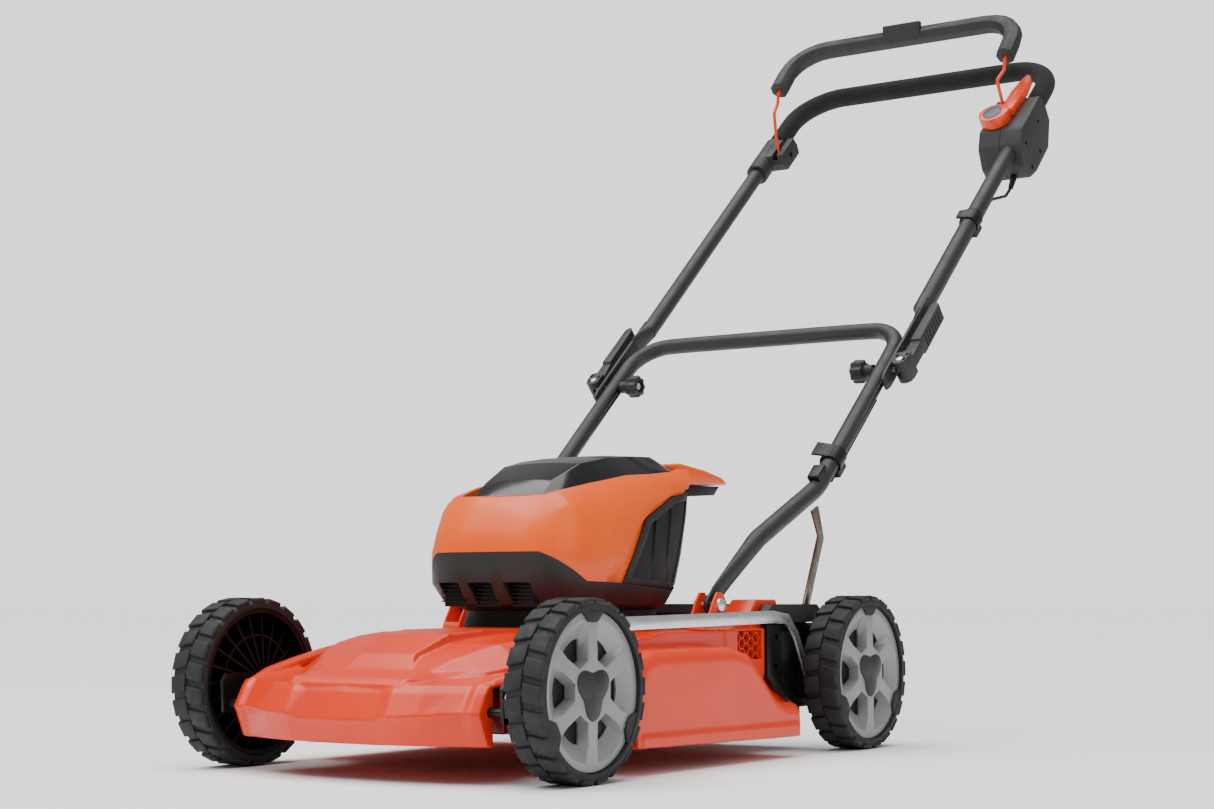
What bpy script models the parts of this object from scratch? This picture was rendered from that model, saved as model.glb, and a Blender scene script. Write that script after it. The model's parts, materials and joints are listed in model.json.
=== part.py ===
"""Walk-behind cordless push lawn mower, as an assembly of separate closed solids.

Units are metres and +Z is up. The front of the mower faces -Y, the operator stands at +Y, and "left"
is the operator's left, which is +X. The origin lies on the ground under the middle of the whole
machine. Lengths along Y are given from the front wheel axle, and Y_ORIGIN moves them to the origin.
"""

import math

import bmesh
import bpy
from mathutils import Matrix, Vector

# Driving dimensions
Y_ORIGIN = 0.64055
GAP = 0.0003
WHEEL_RADIUS = 0.100
WHEELBASE = 0.635
STUB_RADIUS = 0.005
ARM_BACK = 0.0664
ARM_RISE = 0.0222
ARM_X = (0.2015, 0.2055)
LINK_X = (0.2075, 0.2110)
LINK_PIN = (-0.004, 0.022)
PIN_RADIUS = 0.003
LEVER_X = (0.1815, 0.1855)
DECK_WALL_X = 0.200
SKIRT_X = 0.250
SKIRT_BOTTOM = 0.025
DECK_TOP = 0.158
BLADE_Y = 0.280
BLADE_RADIUS = 0.230
CHAMBER_RADIUS = 0.236
SHAFT_RADIUS = 0.0065
TUBE_RADIUS = 0.0125
TUBE_BORE = 0.0132
GRIP_RADIUS = 0.016
HANDLE_ANGLE = math.radians(41.84)
HANDLE_Y = 0.7506
HANDLE_Z = 0.500
LOWER_X = 0.2242
UPPER_X = 0.2335
CROSSBAR_S = 0.114
GRIP_S = 0.842
FOLD_S = 0.015
LOWER_PIVOT = (0.360, 0.189)
BAIL_PIVOT_S = 0.652
BAIL_X = 0.207
WIRE_RADIUS = 0.003
CABLE_RADIUS = 0.0026
START_X = 0.207
START_S = 0.625
LID_HINGE = (0.4530, 0.3700)
FLAP_HINGE = (0.6045, 0.1500)
SIDES = {"left": 1, "right": -1}

# Colours are linear RGB, with a roughness and a metallic value
DECK_PAINT = ("deck_paint", (0.78, 0.09, 0.012), 0.30, 0.0)
HOUSING_ORANGE = ("housing_orange", (0.86, 0.17, 0.025), 0.30, 0.0)
DARK_PLASTIC = ("dark_plastic", (0.045, 0.046, 0.048), 0.55, 0.0)
LID_BLACK = ("lid_black", (0.015, 0.015, 0.016), 0.18, 0.0)
TYRE_BLACK = ("tyre_black", (0.035, 0.036, 0.038), 0.75, 0.0)
RIM_SILVER = ("rim_silver", (0.50, 0.50, 0.50), 0.38, 0.3)
TUBE_GREY = ("tube_grey", (0.06, 0.06, 0.062), 0.50, 0.2)
FOAM_BLACK = ("foam_black", (0.035, 0.035, 0.036), 0.90, 0.0)
BARE_STEEL = ("bare_steel", (0.62, 0.62, 0.61), 0.35, 1.0)
WIRE_ORANGE = ("wire_orange", (0.85, 0.13, 0.015), 0.35, 0.0)


def clear_scene():
    """Removes every object of the start-up scene."""
    for old in list(bpy.data.objects):
        bpy.data.objects.remove(old)


def finish_material(look):
    """The Principled material of one look, made once and then shared."""
    name, colour, roughness, metallic = look
    known = bpy.data.materials.get(name)
    if known:
        return known
    made = bpy.data.materials.new(name)
    made.use_nodes = True
    shader = made.node_tree.nodes["Principled BSDF"]
    shader.inputs["Base Color"].default_value = (*colour, 1.0)
    shader.inputs["Roughness"].default_value = roughness
    shader.inputs["Metallic"].default_value = metallic
    return made


def place(name, bm, look=None, pivot=(0.0, 0.0, 0.0)):
    """Turns a bmesh into an object whose origin is the pivot; with no look it is a hidden cutter."""
    bmesh.ops.recalc_face_normals(bm, faces=bm.faces)
    bmesh.ops.translate(bm, verts=bm.verts, vec=-Vector(pivot))
    mesh = bpy.data.meshes.new(name)
    bm.to_mesh(mesh)
    bm.free()
    piece = bpy.data.objects.new(name, mesh)
    bpy.context.scene.collection.objects.link(piece)
    piece.location = Vector(pivot) - Vector((0.0, Y_ORIGIN, 0.0))
    if look:
        mesh.materials.append(finish_material(look))
        mesh.shade_smooth()
        mesh.set_sharp_from_angle(angle=math.radians(32))
    else:
        piece.hide_render = True
        piece.display_type = "WIRE"
    return piece


def shape_with(piece, bm, operation="DIFFERENCE"):
    """Cuts, adds or intersects a bmesh with a piece through an exact Boolean."""
    tool = place(f"{piece.name}_{operation.lower()}_{len(piece.modifiers)}", bm)
    change = piece.modifiers.new(operation.title(), "BOOLEAN")
    change.operation = operation
    change.solver = "EXACT"
    change.object = tool


def prism(outline, axis, low, high):
    """An outline extruded along X, Y or Z; its points are (y, z), (x, z) or (x, y)."""
    bm = bmesh.new()
    ring = []
    for a, b in outline:
        point = {"X": (low, a, b), "Y": (a, low, b), "Z": (a, b, low)}[axis]
        ring.append(bm.verts.new(point))
    face = bm.faces.new(ring)
    grown = bmesh.ops.extrude_face_region(bm, geom=[face])["geom"]
    step = {"X": (high - low, 0, 0), "Y": (0, high - low, 0), "Z": (0, 0, high - low)}[axis]
    bmesh.ops.translate(bm, verts=[v for v in grown if isinstance(v, bmesh.types.BMVert)], vec=step)
    return bm


def merge(first, second):
    """Puts the mesh of the second bmesh into the first and frees the second."""
    mesh = bpy.data.meshes.new("merge")
    second.to_mesh(mesh)
    second.free()
    first.from_mesh(mesh)
    bpy.data.meshes.remove(mesh)
    return first


def box(low, high):
    """A box between two corners."""
    return prism([(low[0], low[1]), (high[0], low[1]), (high[0], high[1]), (low[0], high[1])],
                 "Z", low[2], high[2])


def drum(axis, centre, radius, low, high, sides=24):
    """A cylinder along X or Z, its corner pointing down so that it stands exactly on its radius."""
    outline = []
    for step in range(sides):
        turn = math.tau * step / sides - math.pi / 2
        outline.append((centre[0] + radius * math.cos(turn), centre[1] + radius * math.sin(turn)))
    return prism(outline, axis, low, high)


def loft(rings):
    """A closed solid through rings of points that all have the same count."""
    bm = bmesh.new()
    loops = [[bm.verts.new(point) for point in ring] for ring in rings]
    for first, second in zip(loops, loops[1:]):
        for index in range(len(first)):
            after = (index + 1) % len(first)
            bm.faces.new((first[index], first[after], second[after], second[index]))
    bm.faces.new(loops[0])
    bm.faces.new(loops[-1])
    return bm


def turned(profile, x_side, centre, sides=32):
    """A ring turned about X from a closed profile of (x, radius) points."""
    rings = []
    for step in range(sides):
        turn = math.tau * step / sides - math.pi / 2
        rings.append([(x * x_side, centre[0] + r * math.cos(turn), centre[1] + r * math.sin(turn))
                      for x, r in profile])
    bm = bmesh.new()
    loops = [[bm.verts.new(point) for point in ring] for ring in rings]
    for index, first in enumerate(loops):
        second = loops[(index + 1) % sides]
        for corner in range(len(first)):
            after = (corner + 1) % len(first)
            bm.faces.new((first[corner], first[after], second[after], second[corner]))
    return bm


def rounded_path(points, radius, steps=5):
    """A path whose inner corners are replaced by arcs of the given radius."""
    path = [Vector(points[0])]
    for before, corner, after in zip(points, points[1:], points[2:]):
        corner = Vector(corner)
        back = (Vector(before) - corner).normalized()
        ahead = (Vector(after) - corner).normalized()
        bend = math.pi - back.angle(ahead)
        reach = radius * math.tan(bend / 2)
        centre = corner + (back + ahead).normalized() * radius / math.cos(bend / 2)
        start = corner + back * reach - centre
        axis = back.cross(ahead)
        for step in range(steps + 1):
            path.append(centre + Matrix.Rotation(-bend * step / steps, 3, axis) @ start)
    path.append(Vector(points[-1]))
    return path


def sweep(path, radius, sides=12, bore=None):
    """A round bar along a path, or a sleeve where it has a bore."""
    side = (path[1] - path[0]).orthogonal().normalized()
    rings = {radius: [], bore: []}
    for index, point in enumerate(path):
        before = path[max(index - 1, 0)]
        after = path[min(index + 1, len(path) - 1)]
        along = ((point - before).normalized() + (after - point).normalized()).normalized()
        side = (side - along * side.dot(along)).normalized()
        other = along.cross(side)
        for size in filter(None, rings):
            ring = []
            for step in range(sides):
                turn = math.tau * step / sides
                ring.append(point + size * (side * math.cos(turn) + other * math.sin(turn)))
            rings[size].append(ring)
    if not bore:
        return loft(rings[radius])
    bm = bmesh.new()
    loops = [[bm.verts.new(point) for point in ring] for ring in rings[radius] + rings[bore][::-1]]
    for index, first in enumerate(loops):
        second = loops[(index + 1) % len(loops)]
        for corner in range(sides):
            after = (corner + 1) % sides
            bm.faces.new((first[corner], first[after], second[after], second[corner]))
    return bm


def on_handle(x, s, n=0.0):
    """The point s along the handle tube and n above it, at one x."""
    y = HANDLE_Y + s * math.cos(HANDLE_ANGLE) - n * math.sin(HANDLE_ANGLE)
    z = HANDLE_Z + s * math.sin(HANDLE_ANGLE) + n * math.cos(HANDLE_ANGLE)
    return Vector((x, y, z))


def handle_prism(outline, axis, low, high):
    """A prism in the handle's own axes: X across, Y along the tube and Z above it."""
    bm = prism(outline, axis, low, high)
    turn = Matrix.Rotation(HANDLE_ANGLE, 4, "X")
    bmesh.ops.transform(bm, matrix=Matrix.Translation((0, HANDLE_Y, HANDLE_Z)) @ turn, verts=bm.verts)
    return bm


def axle_pivot(axle_y):
    """The cross rod of an axle, in front of and below its wheels."""
    return (axle_y - ARM_BACK, WHEEL_RADIUS - ARM_RISE)


def mirrored_across(outline):
    """A half outline of (x, value) points, completed on the other side."""
    return outline + [(-x, value) for x, value in reversed(outline)]


def nose_rings():
    """Side sections of the front of the deck, from right to left."""
    stations = [(0.172, 0.052, 0.040), (0.160, 0.026, 0.012), (0.090, 0.006, 0.004), (0.055, 0.002, 0.0)]
    rings = []
    for x, back, low in stations + [(-x, back, low) for x, back, low in reversed(stations)]:
        crown = 0.0 if abs(x) < 0.1 else 0.010
        rings.append([(x, 0.110, 0.042), (x, -0.104 + back, 0.041), (x, -0.1148 + back, 0.071),
                      (x, -0.106 + back, 0.0985), (x, -0.093 + back, 0.112 - crown * 0.6),
                      (x, -0.020, 0.134 - crown), (x, 0.070, 0.152 - crown), (x, 0.110, 0.152 - crown)])
    return rings


def build_deck():
    """Deck shell: nose, hood, walls, volute and skirt, hollow from below."""
    roof = [(0.16, 0.060), (DECK_WALL_X, 0.115), (DECK_WALL_X, 0.470), (0.190, 0.480), (0.190, 0.600)]
    deck = place("deck_shell", prism(mirrored_across(roof), "Z", 0.060, DECK_TOP), DECK_PAINT)
    shape_with(deck, loft(nose_rings()), "UNION")
    side = [(0.116, 0.031), (0.116, 0.110), (0.130, 0.133), (0.160, 0.139), (0.320, 0.139),
            (0.360, 0.131), (0.384, 0.113), (0.410, 0.088), (0.425, 0.076), (0.445, 0.068),
            (0.476, 0.066), (0.476, SKIRT_BOTTOM), (0.300, SKIRT_BOTTOM)]
    skirt = prism(side, "X", -SKIRT_X, SKIRT_X)
    long_edges = [e for e in skirt.edges if len(e.link_faces) == 2 and abs(e.calc_face_angle(0)) > 1.2
                  and abs(abs(e.verts[0].co.x) - SKIRT_X) < 1e-5 and abs(abs(e.verts[1].co.x) - SKIRT_X) < 1e-5
                  and min(v.co.z for v in e.verts) > 0.06]
    bmesh.ops.bevel(skirt, geom=long_edges, offset=0.014, segments=2, affect="EDGES", profile=0.5,
                    material=-1)
    shape_with(deck, skirt, "UNION")
    rear_block = prism([(0.440, 0.100), (0.440, 0.150), (0.462, 0.165), (0.600, 0.165), (0.600, 0.060),
                        (0.460, 0.060)], "X", -0.190, 0.190)
    shape_with(deck, rear_block, "UNION")
    shape_with(deck, drum("Z", (0.0, BLADE_Y), CHAMBER_RADIUS, -0.010, 0.072, 32))
    shape_with(deck, drum("Z", (0.0, BLADE_Y), 0.192, -0.010, 0.128, 32))
    nose_hollow = [(0.152, -0.0735), (0.060, -0.094), (-0.060, -0.094), (-0.152, -0.0735), (-0.152, 0.034),
                   (0.152, 0.034)]
    shape_with(deck, prism(nose_hollow, "Z", -0.010, 0.088))
    shape_with(deck, box((-0.1866, 0.520, -0.010), (0.1866, 0.630, 0.155)))
    shape_with(deck, lever_slot())
    shape_with(deck, box((-0.120, 0.400, -0.010), (0.120, 0.560, 0.120)))
    for axle_y in (0.0, WHEELBASE):
        shape_with(deck, drum("X", axle_pivot(axle_y), STUB_RADIUS + 0.0006, -0.26, 0.26, 16))
    shape_with(deck, drum("Z", (0.0, BLADE_Y), 0.020, 0.100, 0.200))


def lever_slot():
    """The notch at the rear edge through which the height lever passes."""
    return box((LEVER_X[0] - 0.0015, 0.582, 0.140), (LEVER_X[1] + 0.0011, 0.640, 0.210))


def build_rear():
    """Cover over the rear of the deck, its side brackets and the discharge flap."""
    top = [(0.472, 0.1653), (0.472, 0.1780), (0.486, 0.1885), (0.602, 0.1885),
           (0.612, 0.1820), (0.612, 0.1653)]
    cover = place("rear_cover", prism(top, "X", -0.2050, 0.2050), DARK_PLASTIC)
    shape_with(cover, lever_slot())
    plate = [(0.4810, 0.1640), (0.612, 0.1640), (0.612, 0.066), (0.590, 0.056), (0.560, 0.056),
             (0.505, 0.080), (0.4810, 0.098)]
    for side, sign in SIDES.items():
        bracket = place(f"rear_bracket_{side}", prism(plate, "X", sign * 0.1903, sign * 0.2000), DARK_PLASTIC)
        shape_with(bracket, drum("X", axle_pivot(WHEELBASE), STUB_RADIUS + 0.0006, -0.22, 0.22, 16))
        for y, z in ((0.505, 0.148), (0.502, 0.110)):
            shape_with(bracket, drum("X", (y, z), 0.004, -0.22, 0.22, 12))
    hinge_y, hinge_z = FLAP_HINGE
    flap = [(hinge_y - 0.003, hinge_z + 0.003), (hinge_y + 0.003, hinge_z + 0.003),
            (hinge_y + 0.004, 0.100), (hinge_y + 0.012, 0.045), (hinge_y + 0.009, 0.045),
            (hinge_y + 0.0005, 0.100), (hinge_y - 0.003, hinge_z - 0.006)]
    place("rear_flap", prism(flap, "X", -0.170, 0.170), DARK_PLASTIC, (0, *FLAP_HINGE))


def plan_ring(z, front, rear, half, count=20, power=3.2):
    """A rounded rectangle seen from above, at one height."""
    ring = []
    for step in range(count):
        turn = math.tau * step / count
        cosine, sine = math.cos(turn), math.sin(turn)
        x = half * math.copysign(abs(cosine) ** (2 / power), cosine)
        y = (front + rear) / 2 + (rear - front) / 2 * math.copysign(abs(sine) ** (2 / power), sine)
        ring.append((x, y, z))
    return ring


def housing_body(shrink=0.0):
    """The motor housing's outer form, or with shrink the hollow inside it."""
    levels = [(0.1830, 0.200, 0.404, 0.098), (0.1910, 0.168, 0.414, 0.110), (0.2160, 0.150, 0.426, 0.121),
              (0.2530, 0.148, 0.440, 0.121), (0.3040, 0.166, 0.458, 0.112), (0.3400, 0.196, 0.470, 0.101),
              (0.3720, 0.230, 0.476, 0.088)]
    return loft([plan_ring(z, front + shrink, rear - shrink, half - shrink)
                 for z, front, rear, half in levels])


def lid_plane(y, lift=0.0):
    """Height of the seam under the battery lid."""
    return 0.3040 + (y - 0.189) * 0.207 + lift


def build_housing():
    """Motor housing: neck, base tub, orange cover, louvres, grip and battery lid."""
    neck = place("motor_neck", loft([plan_ring(DECK_TOP + GAP, 0.196, 0.412, 0.104),
                                     plan_ring(0.1827, 0.200, 0.404, 0.098)]), DARK_PLASTIC)
    shape_with(neck, drum("Z", (0.0, BLADE_Y), 0.020, 0.100, 0.220))
    seam = [(0.100, 0.2535), (0.158, 0.2535), (0.205, 0.2185), (0.500, 0.2085)]
    below = prism([(0.500, 0.150), (0.100, 0.150)] + [(y, z - GAP) for y, z in seam], "X", -0.2, 0.2)
    above = prism([(0.500, 0.420), (0.100, 0.420)] + seam, "X", -0.2, 0.2)
    panel = [(0.276, 0.2165), (0.398, 0.2075), (0.452, 0.3330), (0.400, 0.3250), (0.330, 0.2960)]
    base = place("motor_base", housing_body(), DARK_PLASTIC)
    shape_with(base, below, "INTERSECT")
    hollow = loft([plan_ring(z, front, rear, half) for z, front, rear, half in
                   ((0.1880, 0.205, 0.399, 0.093), (0.2160, 0.155, 0.421, 0.116), (0.260, 0.153, 0.437, 0.116))])
    shape_with(base, hollow)
    shape_with(base, drum("Z", (0.0, BLADE_Y), 0.020, 0.150, 0.200))
    shell = place("motor_shell", housing_body(), HOUSING_ORANGE)
    shape_with(shell, above, "INTERSECT")
    lid_cut = [(0.100, lid_plane(0.100)), (0.4560, lid_plane(0.4560)), (0.4560, 0.450), (0.100, 0.450)]
    shape_with(shell, prism(lid_cut, "X", -0.2, 0.2))
    shape_with(shell, loft([plan_ring(z, front, rear, half) for z, front, rear, half in
                            ((0.2050, 0.158, 0.420, 0.114), (0.2530, 0.155, 0.433, 0.114),
                             (0.2900, 0.176, 0.446, 0.108))]))
    bay = [(-0.060, 0.245), (0.060, 0.245), (0.060, 0.425), (-0.060, 0.425)]
    shape_with(shell, prism(bay, "Z", 0.280, 0.400))
    grip = [(0.462, 0.3440), (0.5700, 0.3470), (0.5740, 0.3520), (0.520, 0.3650), (0.462, 0.3650)]
    shape_with(shell, prism(grip, "X", -0.084, 0.084), "UNION")
    under = [(0.4800, 0.3300), (0.5640, 0.3340), (0.5660, 0.3464), (0.4800, 0.3440)]
    place("rear_grip_cover", prism([(y, z - GAP) for y, z in under], "X", -0.080, 0.080), DARK_PLASTIC)
    for side, sign in SIDES.items():
        louvre = place(f"louvre_{side}", housing_body(), DARK_PLASTIC)
        shape_with(louvre, prism(panel, "X", sign * 0.1050, sign * 0.2), "INTERSECT")
        middle_y = sum(y for y, z in panel) / len(panel)
        middle_z = sum(z for y, z in panel) / len(panel)
        wider = [(middle_y + (y - middle_y) * 1.008, middle_z + (z - middle_z) * 1.012) for y, z in panel]
        for around in (base, shell):
            shape_with(around, prism(wider, "X", sign * 0.1047, sign * 0.2))


def build_lid_and_battery():
    """Hinged battery lid, the pack in its bay, and the controller under it."""
    stations = [(0.189, 0.060, 0.052, 0.008), (0.222, 0.072, 0.050, 0.030), (0.270, 0.082, 0.058, 0.043),
                (0.315, 0.089, 0.064, 0.044), (0.418, 0.092, 0.064, 0.028), (0.4520, 0.086, 0.062, 0.0105)]
    rings = []
    for y, low_half, top_half, height in stations:
        low = lid_plane(y, 0.0004)
        rings.append([(-low_half, y, low), (low_half, y, low), (low_half, y, low + height * 0.30),
                      (top_half, y, low + height * 0.92), (0, y, low + height),
                      (-top_half, y, low + height * 0.92), (-low_half, y, low + height * 0.30)])
    lid = place("battery_lid", loft(rings), LID_BLACK, (0, *LID_HINGE))
    hollow = [(0.240, lid_plane(0.240, -0.01)), (0.430, lid_plane(0.430, -0.01)),
              (0.430, lid_plane(0.430, 0.012)), (0.300, lid_plane(0.300, 0.030)),
              (0.240, lid_plane(0.240, 0.022))]
    shape_with(lid, prism(hollow, "X", -0.057, 0.057))
    pack = box((-0.055, 0.250, 0.2450), (0.055, 0.420, 0.3060))
    bmesh.ops.bevel(pack, geom=list(pack.edges), offset=0.006, segments=1, affect="EDGES", profile=0.5,
                    material=-1)
    place("battery_pack", pack, DARK_PLASTIC)
    place("motor_controller", box((-0.060, 0.235, 0.2380), (0.060, 0.415, 0.2447)), BARE_STEEL)


def build_motor():
    """Stator, rotor with shaft, blade adapter, blade and bolt."""
    stator = place("motor_stator", drum("Z", (0.0, BLADE_Y), 0.055, 0.1885, 0.2260), BARE_STEEL)
    shape_with(stator, drum("Z", (0.0, BLADE_Y), 0.030, 0.150, 0.250))
    pivot = (0.0, BLADE_Y, 0.0)
    rotor = place("rotor_shaft", drum("Z", (0.0, BLADE_Y), SHAFT_RADIUS, 0.0753, 0.2340, 16), BARE_STEEL, pivot)
    shape_with(rotor, drum("Z", (0.0, BLADE_Y), 0.027, 0.1950, 0.2220), "UNION")
    place("blade_adapter", drum("Z", (0.0, BLADE_Y), 0.018, 0.0450, 0.0750), BARE_STEEL, pivot)
    tip_x, root_x = 0.020, 0.027
    near, far = BLADE_Y - BLADE_RADIUS, BLADE_Y + BLADE_RADIUS
    flat = [(-tip_x, near), (root_x, near), (root_x, near + 0.14), (root_x, far - 0.14), (tip_x, far),
            (-root_x, far), (-root_x, far - 0.14), (-root_x, near + 0.14)]
    blade = place("blade", prism(flat, "Z", 0.0407, 0.0447), BARE_STEEL, pivot)
    for sign in (1, -1):
        ends = sorted((BLADE_Y - sign * 0.222, BLADE_Y - sign * 0.150))
        sail = [(sign * 0.0262, 0.0430), (sign * 0.0262, 0.0560), (sign * 0.0230, 0.0560), (sign * 0.0180, 0.0430)]
        shape_with(blade, prism(sail, "Y", *ends), "UNION")
    place("blade_bolt", drum("Z", (0.0, BLADE_Y), 0.011, 0.0320, 0.0404, 6), BARE_STEEL, pivot)


def build_wheel(name, axle_y, sign):
    """Tyre, wheel core, silver trim and hub cap of one wheel."""
    centre = (axle_y, WHEEL_RADIUS)
    pivot = (0.0, *centre)
    tread = [(0.219, 0.0873), (0.219, 0.0940), (0.2245, WHEEL_RADIUS), (0.2625, WHEEL_RADIUS),
             (0.268, 0.0945), (0.268, 0.0873)]
    place(f"tyre_{name}", turned(tread, sign, centre, 32), TYRE_BLACK, pivot)
    core = [(0.2200, 0.0866), (0.2517, 0.0866), (0.2517, 0.0056), (0.2125, 0.0056),
            (0.2125, 0.0160), (0.2400, 0.0220), (0.2400, 0.0790), (0.2200, 0.0810)]
    place(f"wheel_core_{name}", turned(core, sign, centre, 24), DARK_PLASTIC, pivot)
    face = turned([(0.2520, 0.0866), (0.2640, 0.0866), (0.2640, 0.0170), (0.2520, 0.0170)], sign, centre, 24)
    trim = place(f"wheel_trim_{name}", face, RIM_SILVER, pivot)
    window = [(0.052, -0.008), (0.052, 0.008), (0.074, 0.013), (0.074, -0.013)]
    for index in range(6):
        turn = math.radians(60 + 60 * index)
        outline = [(centre[0] + r * math.cos(turn) - w * math.sin(turn),
                    centre[1] + r * math.sin(turn) + w * math.cos(turn)) for r, w in window]
        shape_with(trim, prism(outline, "X", sign * 0.245, sign * 0.270))
    lobes = []
    for step in range(18):
        turn = math.tau * step / 18
        radius = 0.0255 + 0.0055 * math.cos(3 * (turn - math.radians(30)))
        lobes.append((centre[0] + radius * math.cos(turn), centre[1] + radius * math.sin(turn)))
    cap = place(f"hub_cap_{name}", prism(lobes, "X", sign * 0.2643, sign * 0.2675), DARK_PLASTIC, pivot)
    shape_with(cap, drum("X", centre, 0.0165, sign * 0.2560, sign * 0.2660, 20), "UNION")


def build_axle(name, axle_y):
    """Cross rod, two arms, two stub axles and the link pin, welded into one."""
    pivot_y, pivot_z = axle_pivot(axle_y)
    axle = place(name, drum("X", (pivot_y, pivot_z), STUB_RADIUS, -0.2050, 0.2050, 16), DARK_PLASTIC,
                 (0, pivot_y, pivot_z))
    arm = [(-0.012, -0.010), (0.010, -0.012), (ARM_BACK + 0.012, ARM_RISE - 0.010),
           (ARM_BACK + 0.012, ARM_RISE + 0.010), (ARM_BACK - 0.004, ARM_RISE + 0.014), (0.010, 0.034),
           (-0.008, 0.034), (-0.014, 0.026)]
    outline = [(pivot_y + y, pivot_z + z) for y, z in arm]
    for sign in SIDES.values():
        shape_with(axle, prism(outline, "X", sign * ARM_X[0], sign * ARM_X[1]), "UNION")
        shape_with(axle, drum("X", (axle_y, WHEEL_RADIUS), STUB_RADIUS, sign * ARM_X[0], sign * 0.2540, 16), "UNION")
    pin = drum("X", (pivot_y + LINK_PIN[0], pivot_z + LINK_PIN[1]), PIN_RADIUS, 0.2040, 0.2118, 10)
    shape_with(axle, pin, "UNION")


def strip_outline(path, width):
    """The outline of a flat strip of one width that follows a path of (y, z) points."""
    near, far = [], []
    for index, point in enumerate(path):
        before = Vector(path[max(index - 1, 0)])
        after = Vector(path[min(index + 1, len(path) - 1)])
        along = (after - before).normalized()
        across = Vector((-along.y, along.x)) * width[index] / 2
        near.append(tuple(Vector(point) + across))
        far.append(tuple(Vector(point) - across))
    return near + far[::-1]


def build_height_adjuster():
    """Link bar between the axles, and the lever on the rear axle."""
    front_y, front_z = axle_pivot(0.0)
    rear_y, rear_z = axle_pivot(WHEELBASE)
    front_pin = (front_y + LINK_PIN[0], front_z + LINK_PIN[1])
    rear_pin = (rear_y + LINK_PIN[0], rear_z + LINK_PIN[1])
    path = [(front_pin[0] - 0.006, front_pin[1] - 0.008), front_pin, (-0.045, 0.145), (-0.015, 0.166),
            (0.030, 0.1680), (0.480, 0.1730), (0.515, 0.170), (0.536, 0.150), (0.553, 0.122), rear_pin,
            (rear_pin[0] + 0.004, rear_pin[1] - 0.008)]
    width = [0.010, 0.014, 0.016, 0.016, 0.016, 0.016, 0.014, 0.013, 0.013, 0.013, 0.010]
    bar = place("link_bar", prism(strip_outline(path, width), "X", *LINK_X), BARE_STEEL, (0, *rear_pin))
    shape_with(bar, drum("X", front_pin, PIN_RADIUS + 0.0012, 0.19, 0.23, 12))
    shape_with(bar, drum("X", rear_pin, PIN_RADIUS + 0.0005, 0.19, 0.23, 12))
    lever_path = [(rear_y - 0.004, rear_z + 0.006), (0.614, 0.194), (0.653, 0.278), (0.637, 0.316)]
    lever = prism(strip_outline(lever_path, [0.016, 0.014, 0.014, 0.018]), "X", *LEVER_X)
    piece = place("height_lever", lever, BARE_STEEL, (0, rear_y, rear_z))
    shape_with(piece, drum("X", (rear_y, rear_z), STUB_RADIUS + GAP, 0.17, 0.20, 16))


def build_ears():
    """Clevis ears on the deck and the bolts that hold the lower handle in them."""
    y, z = LOWER_PIVOT
    plate = [(y - 0.046, DECK_TOP + GAP), (y + 0.028, DECK_TOP + GAP), (y + 0.024, 0.186), (y + 0.010, 0.203),
             (y - 0.006, 0.2075), (y - 0.020, 0.200), (y - 0.042, 0.180)]
    for side, sign in SIDES.items():
        ear = place(f"handle_ear_{side}", prism(plate, "X", sign * 0.1760, sign * 0.2045), DECK_PAINT)
        slot = [(y - 0.060, 0.1640), (y + 0.060, 0.1640), (y + 0.060, 0.220), (y - 0.060, 0.220)]
        shape_with(ear, prism(slot, "X", sign * 0.1795, sign * 0.2010))
        shape_with(ear, drum("X", (y, z), 0.0043, -0.22, 0.22, 12))
        bolt = place(f"pivot_bolt_{side}", drum("X", (y, z), 0.0040, sign * 0.1680, sign * 0.2090, 12), BARE_STEEL)
        shape_with(bolt, drum("X", (y, z), 0.0070, sign * 0.1680, sign * 0.1755, 12), "UNION")
        shape_with(bolt, drum("X", (y, z), 0.0065, sign * 0.2050, sign * 0.2068, 12), "UNION")


def lower_route(sign):
    """Centre line of one lower tube, from its pivot up to the crossbar."""
    y, z = LOWER_PIVOT
    return [Vector((sign * 0.1903, y, z)), Vector((sign * 0.1925, y + 0.016, z + 0.019)),
            Vector((sign * 0.2100, 0.441, 0.271)), on_handle(sign * LOWER_X, -0.240),
            on_handle(sign * LOWER_X, CROSSBAR_S)]


def build_lower_handle():
    """Lower tubes with their crossbar, in one bent tube with flattened ends."""
    left = lower_route(1)
    right = lower_route(-1)
    path = [left[0]] + rounded_path(left[1:3] + [left[3]], 0.060, 3)[:-1]
    path += rounded_path([left[2], left[3], left[4]], 0.100, 3)[1:-1]
    path += rounded_path([left[3], left[4], right[4], right[3]], 0.055, 5)[1:-1]
    other = [Vector((-point.x, point.y, point.z)) for point in path[:9]]
    path += other[::-1]
    bm = sweep(path, TUBE_RADIUS, 10)
    flat = 0.0032 / TUBE_RADIUS
    for vert in bm.verts:
        for start, share in ((left[0], 0.0), (left[1], 0.12)):
            near = Vector((abs(vert.co.x), vert.co.y, vert.co.z)) - start
            if near.length < TUBE_RADIUS * 1.2 and abs(abs(vert.co.x) - start.x) < TUBE_RADIUS * 1.05:
                middle = math.copysign(start.x, vert.co.x)
                vert.co.x = middle + (vert.co.x - middle) * (flat + share)
                break
    handle = place("lower_handle", bm, TUBE_GREY, (0, *LOWER_PIVOT))
    pad = drum("X", LOWER_PIVOT, 0.0130, 0.1871, 0.1935, 16)
    merge(pad, drum("X", LOWER_PIVOT, 0.0130, -0.1871, -0.1935, 16))
    shape_with(handle, pad, "UNION")
    shape_with(handle, drum("X", LOWER_PIVOT, 0.0045, -0.25, 0.25, 12))
    bolt_y, bolt_z = on_handle(0, FOLD_S).yz
    shape_with(handle, drum("X", (bolt_y, bolt_z), 0.0045, -0.30, 0.30, 12))


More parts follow.
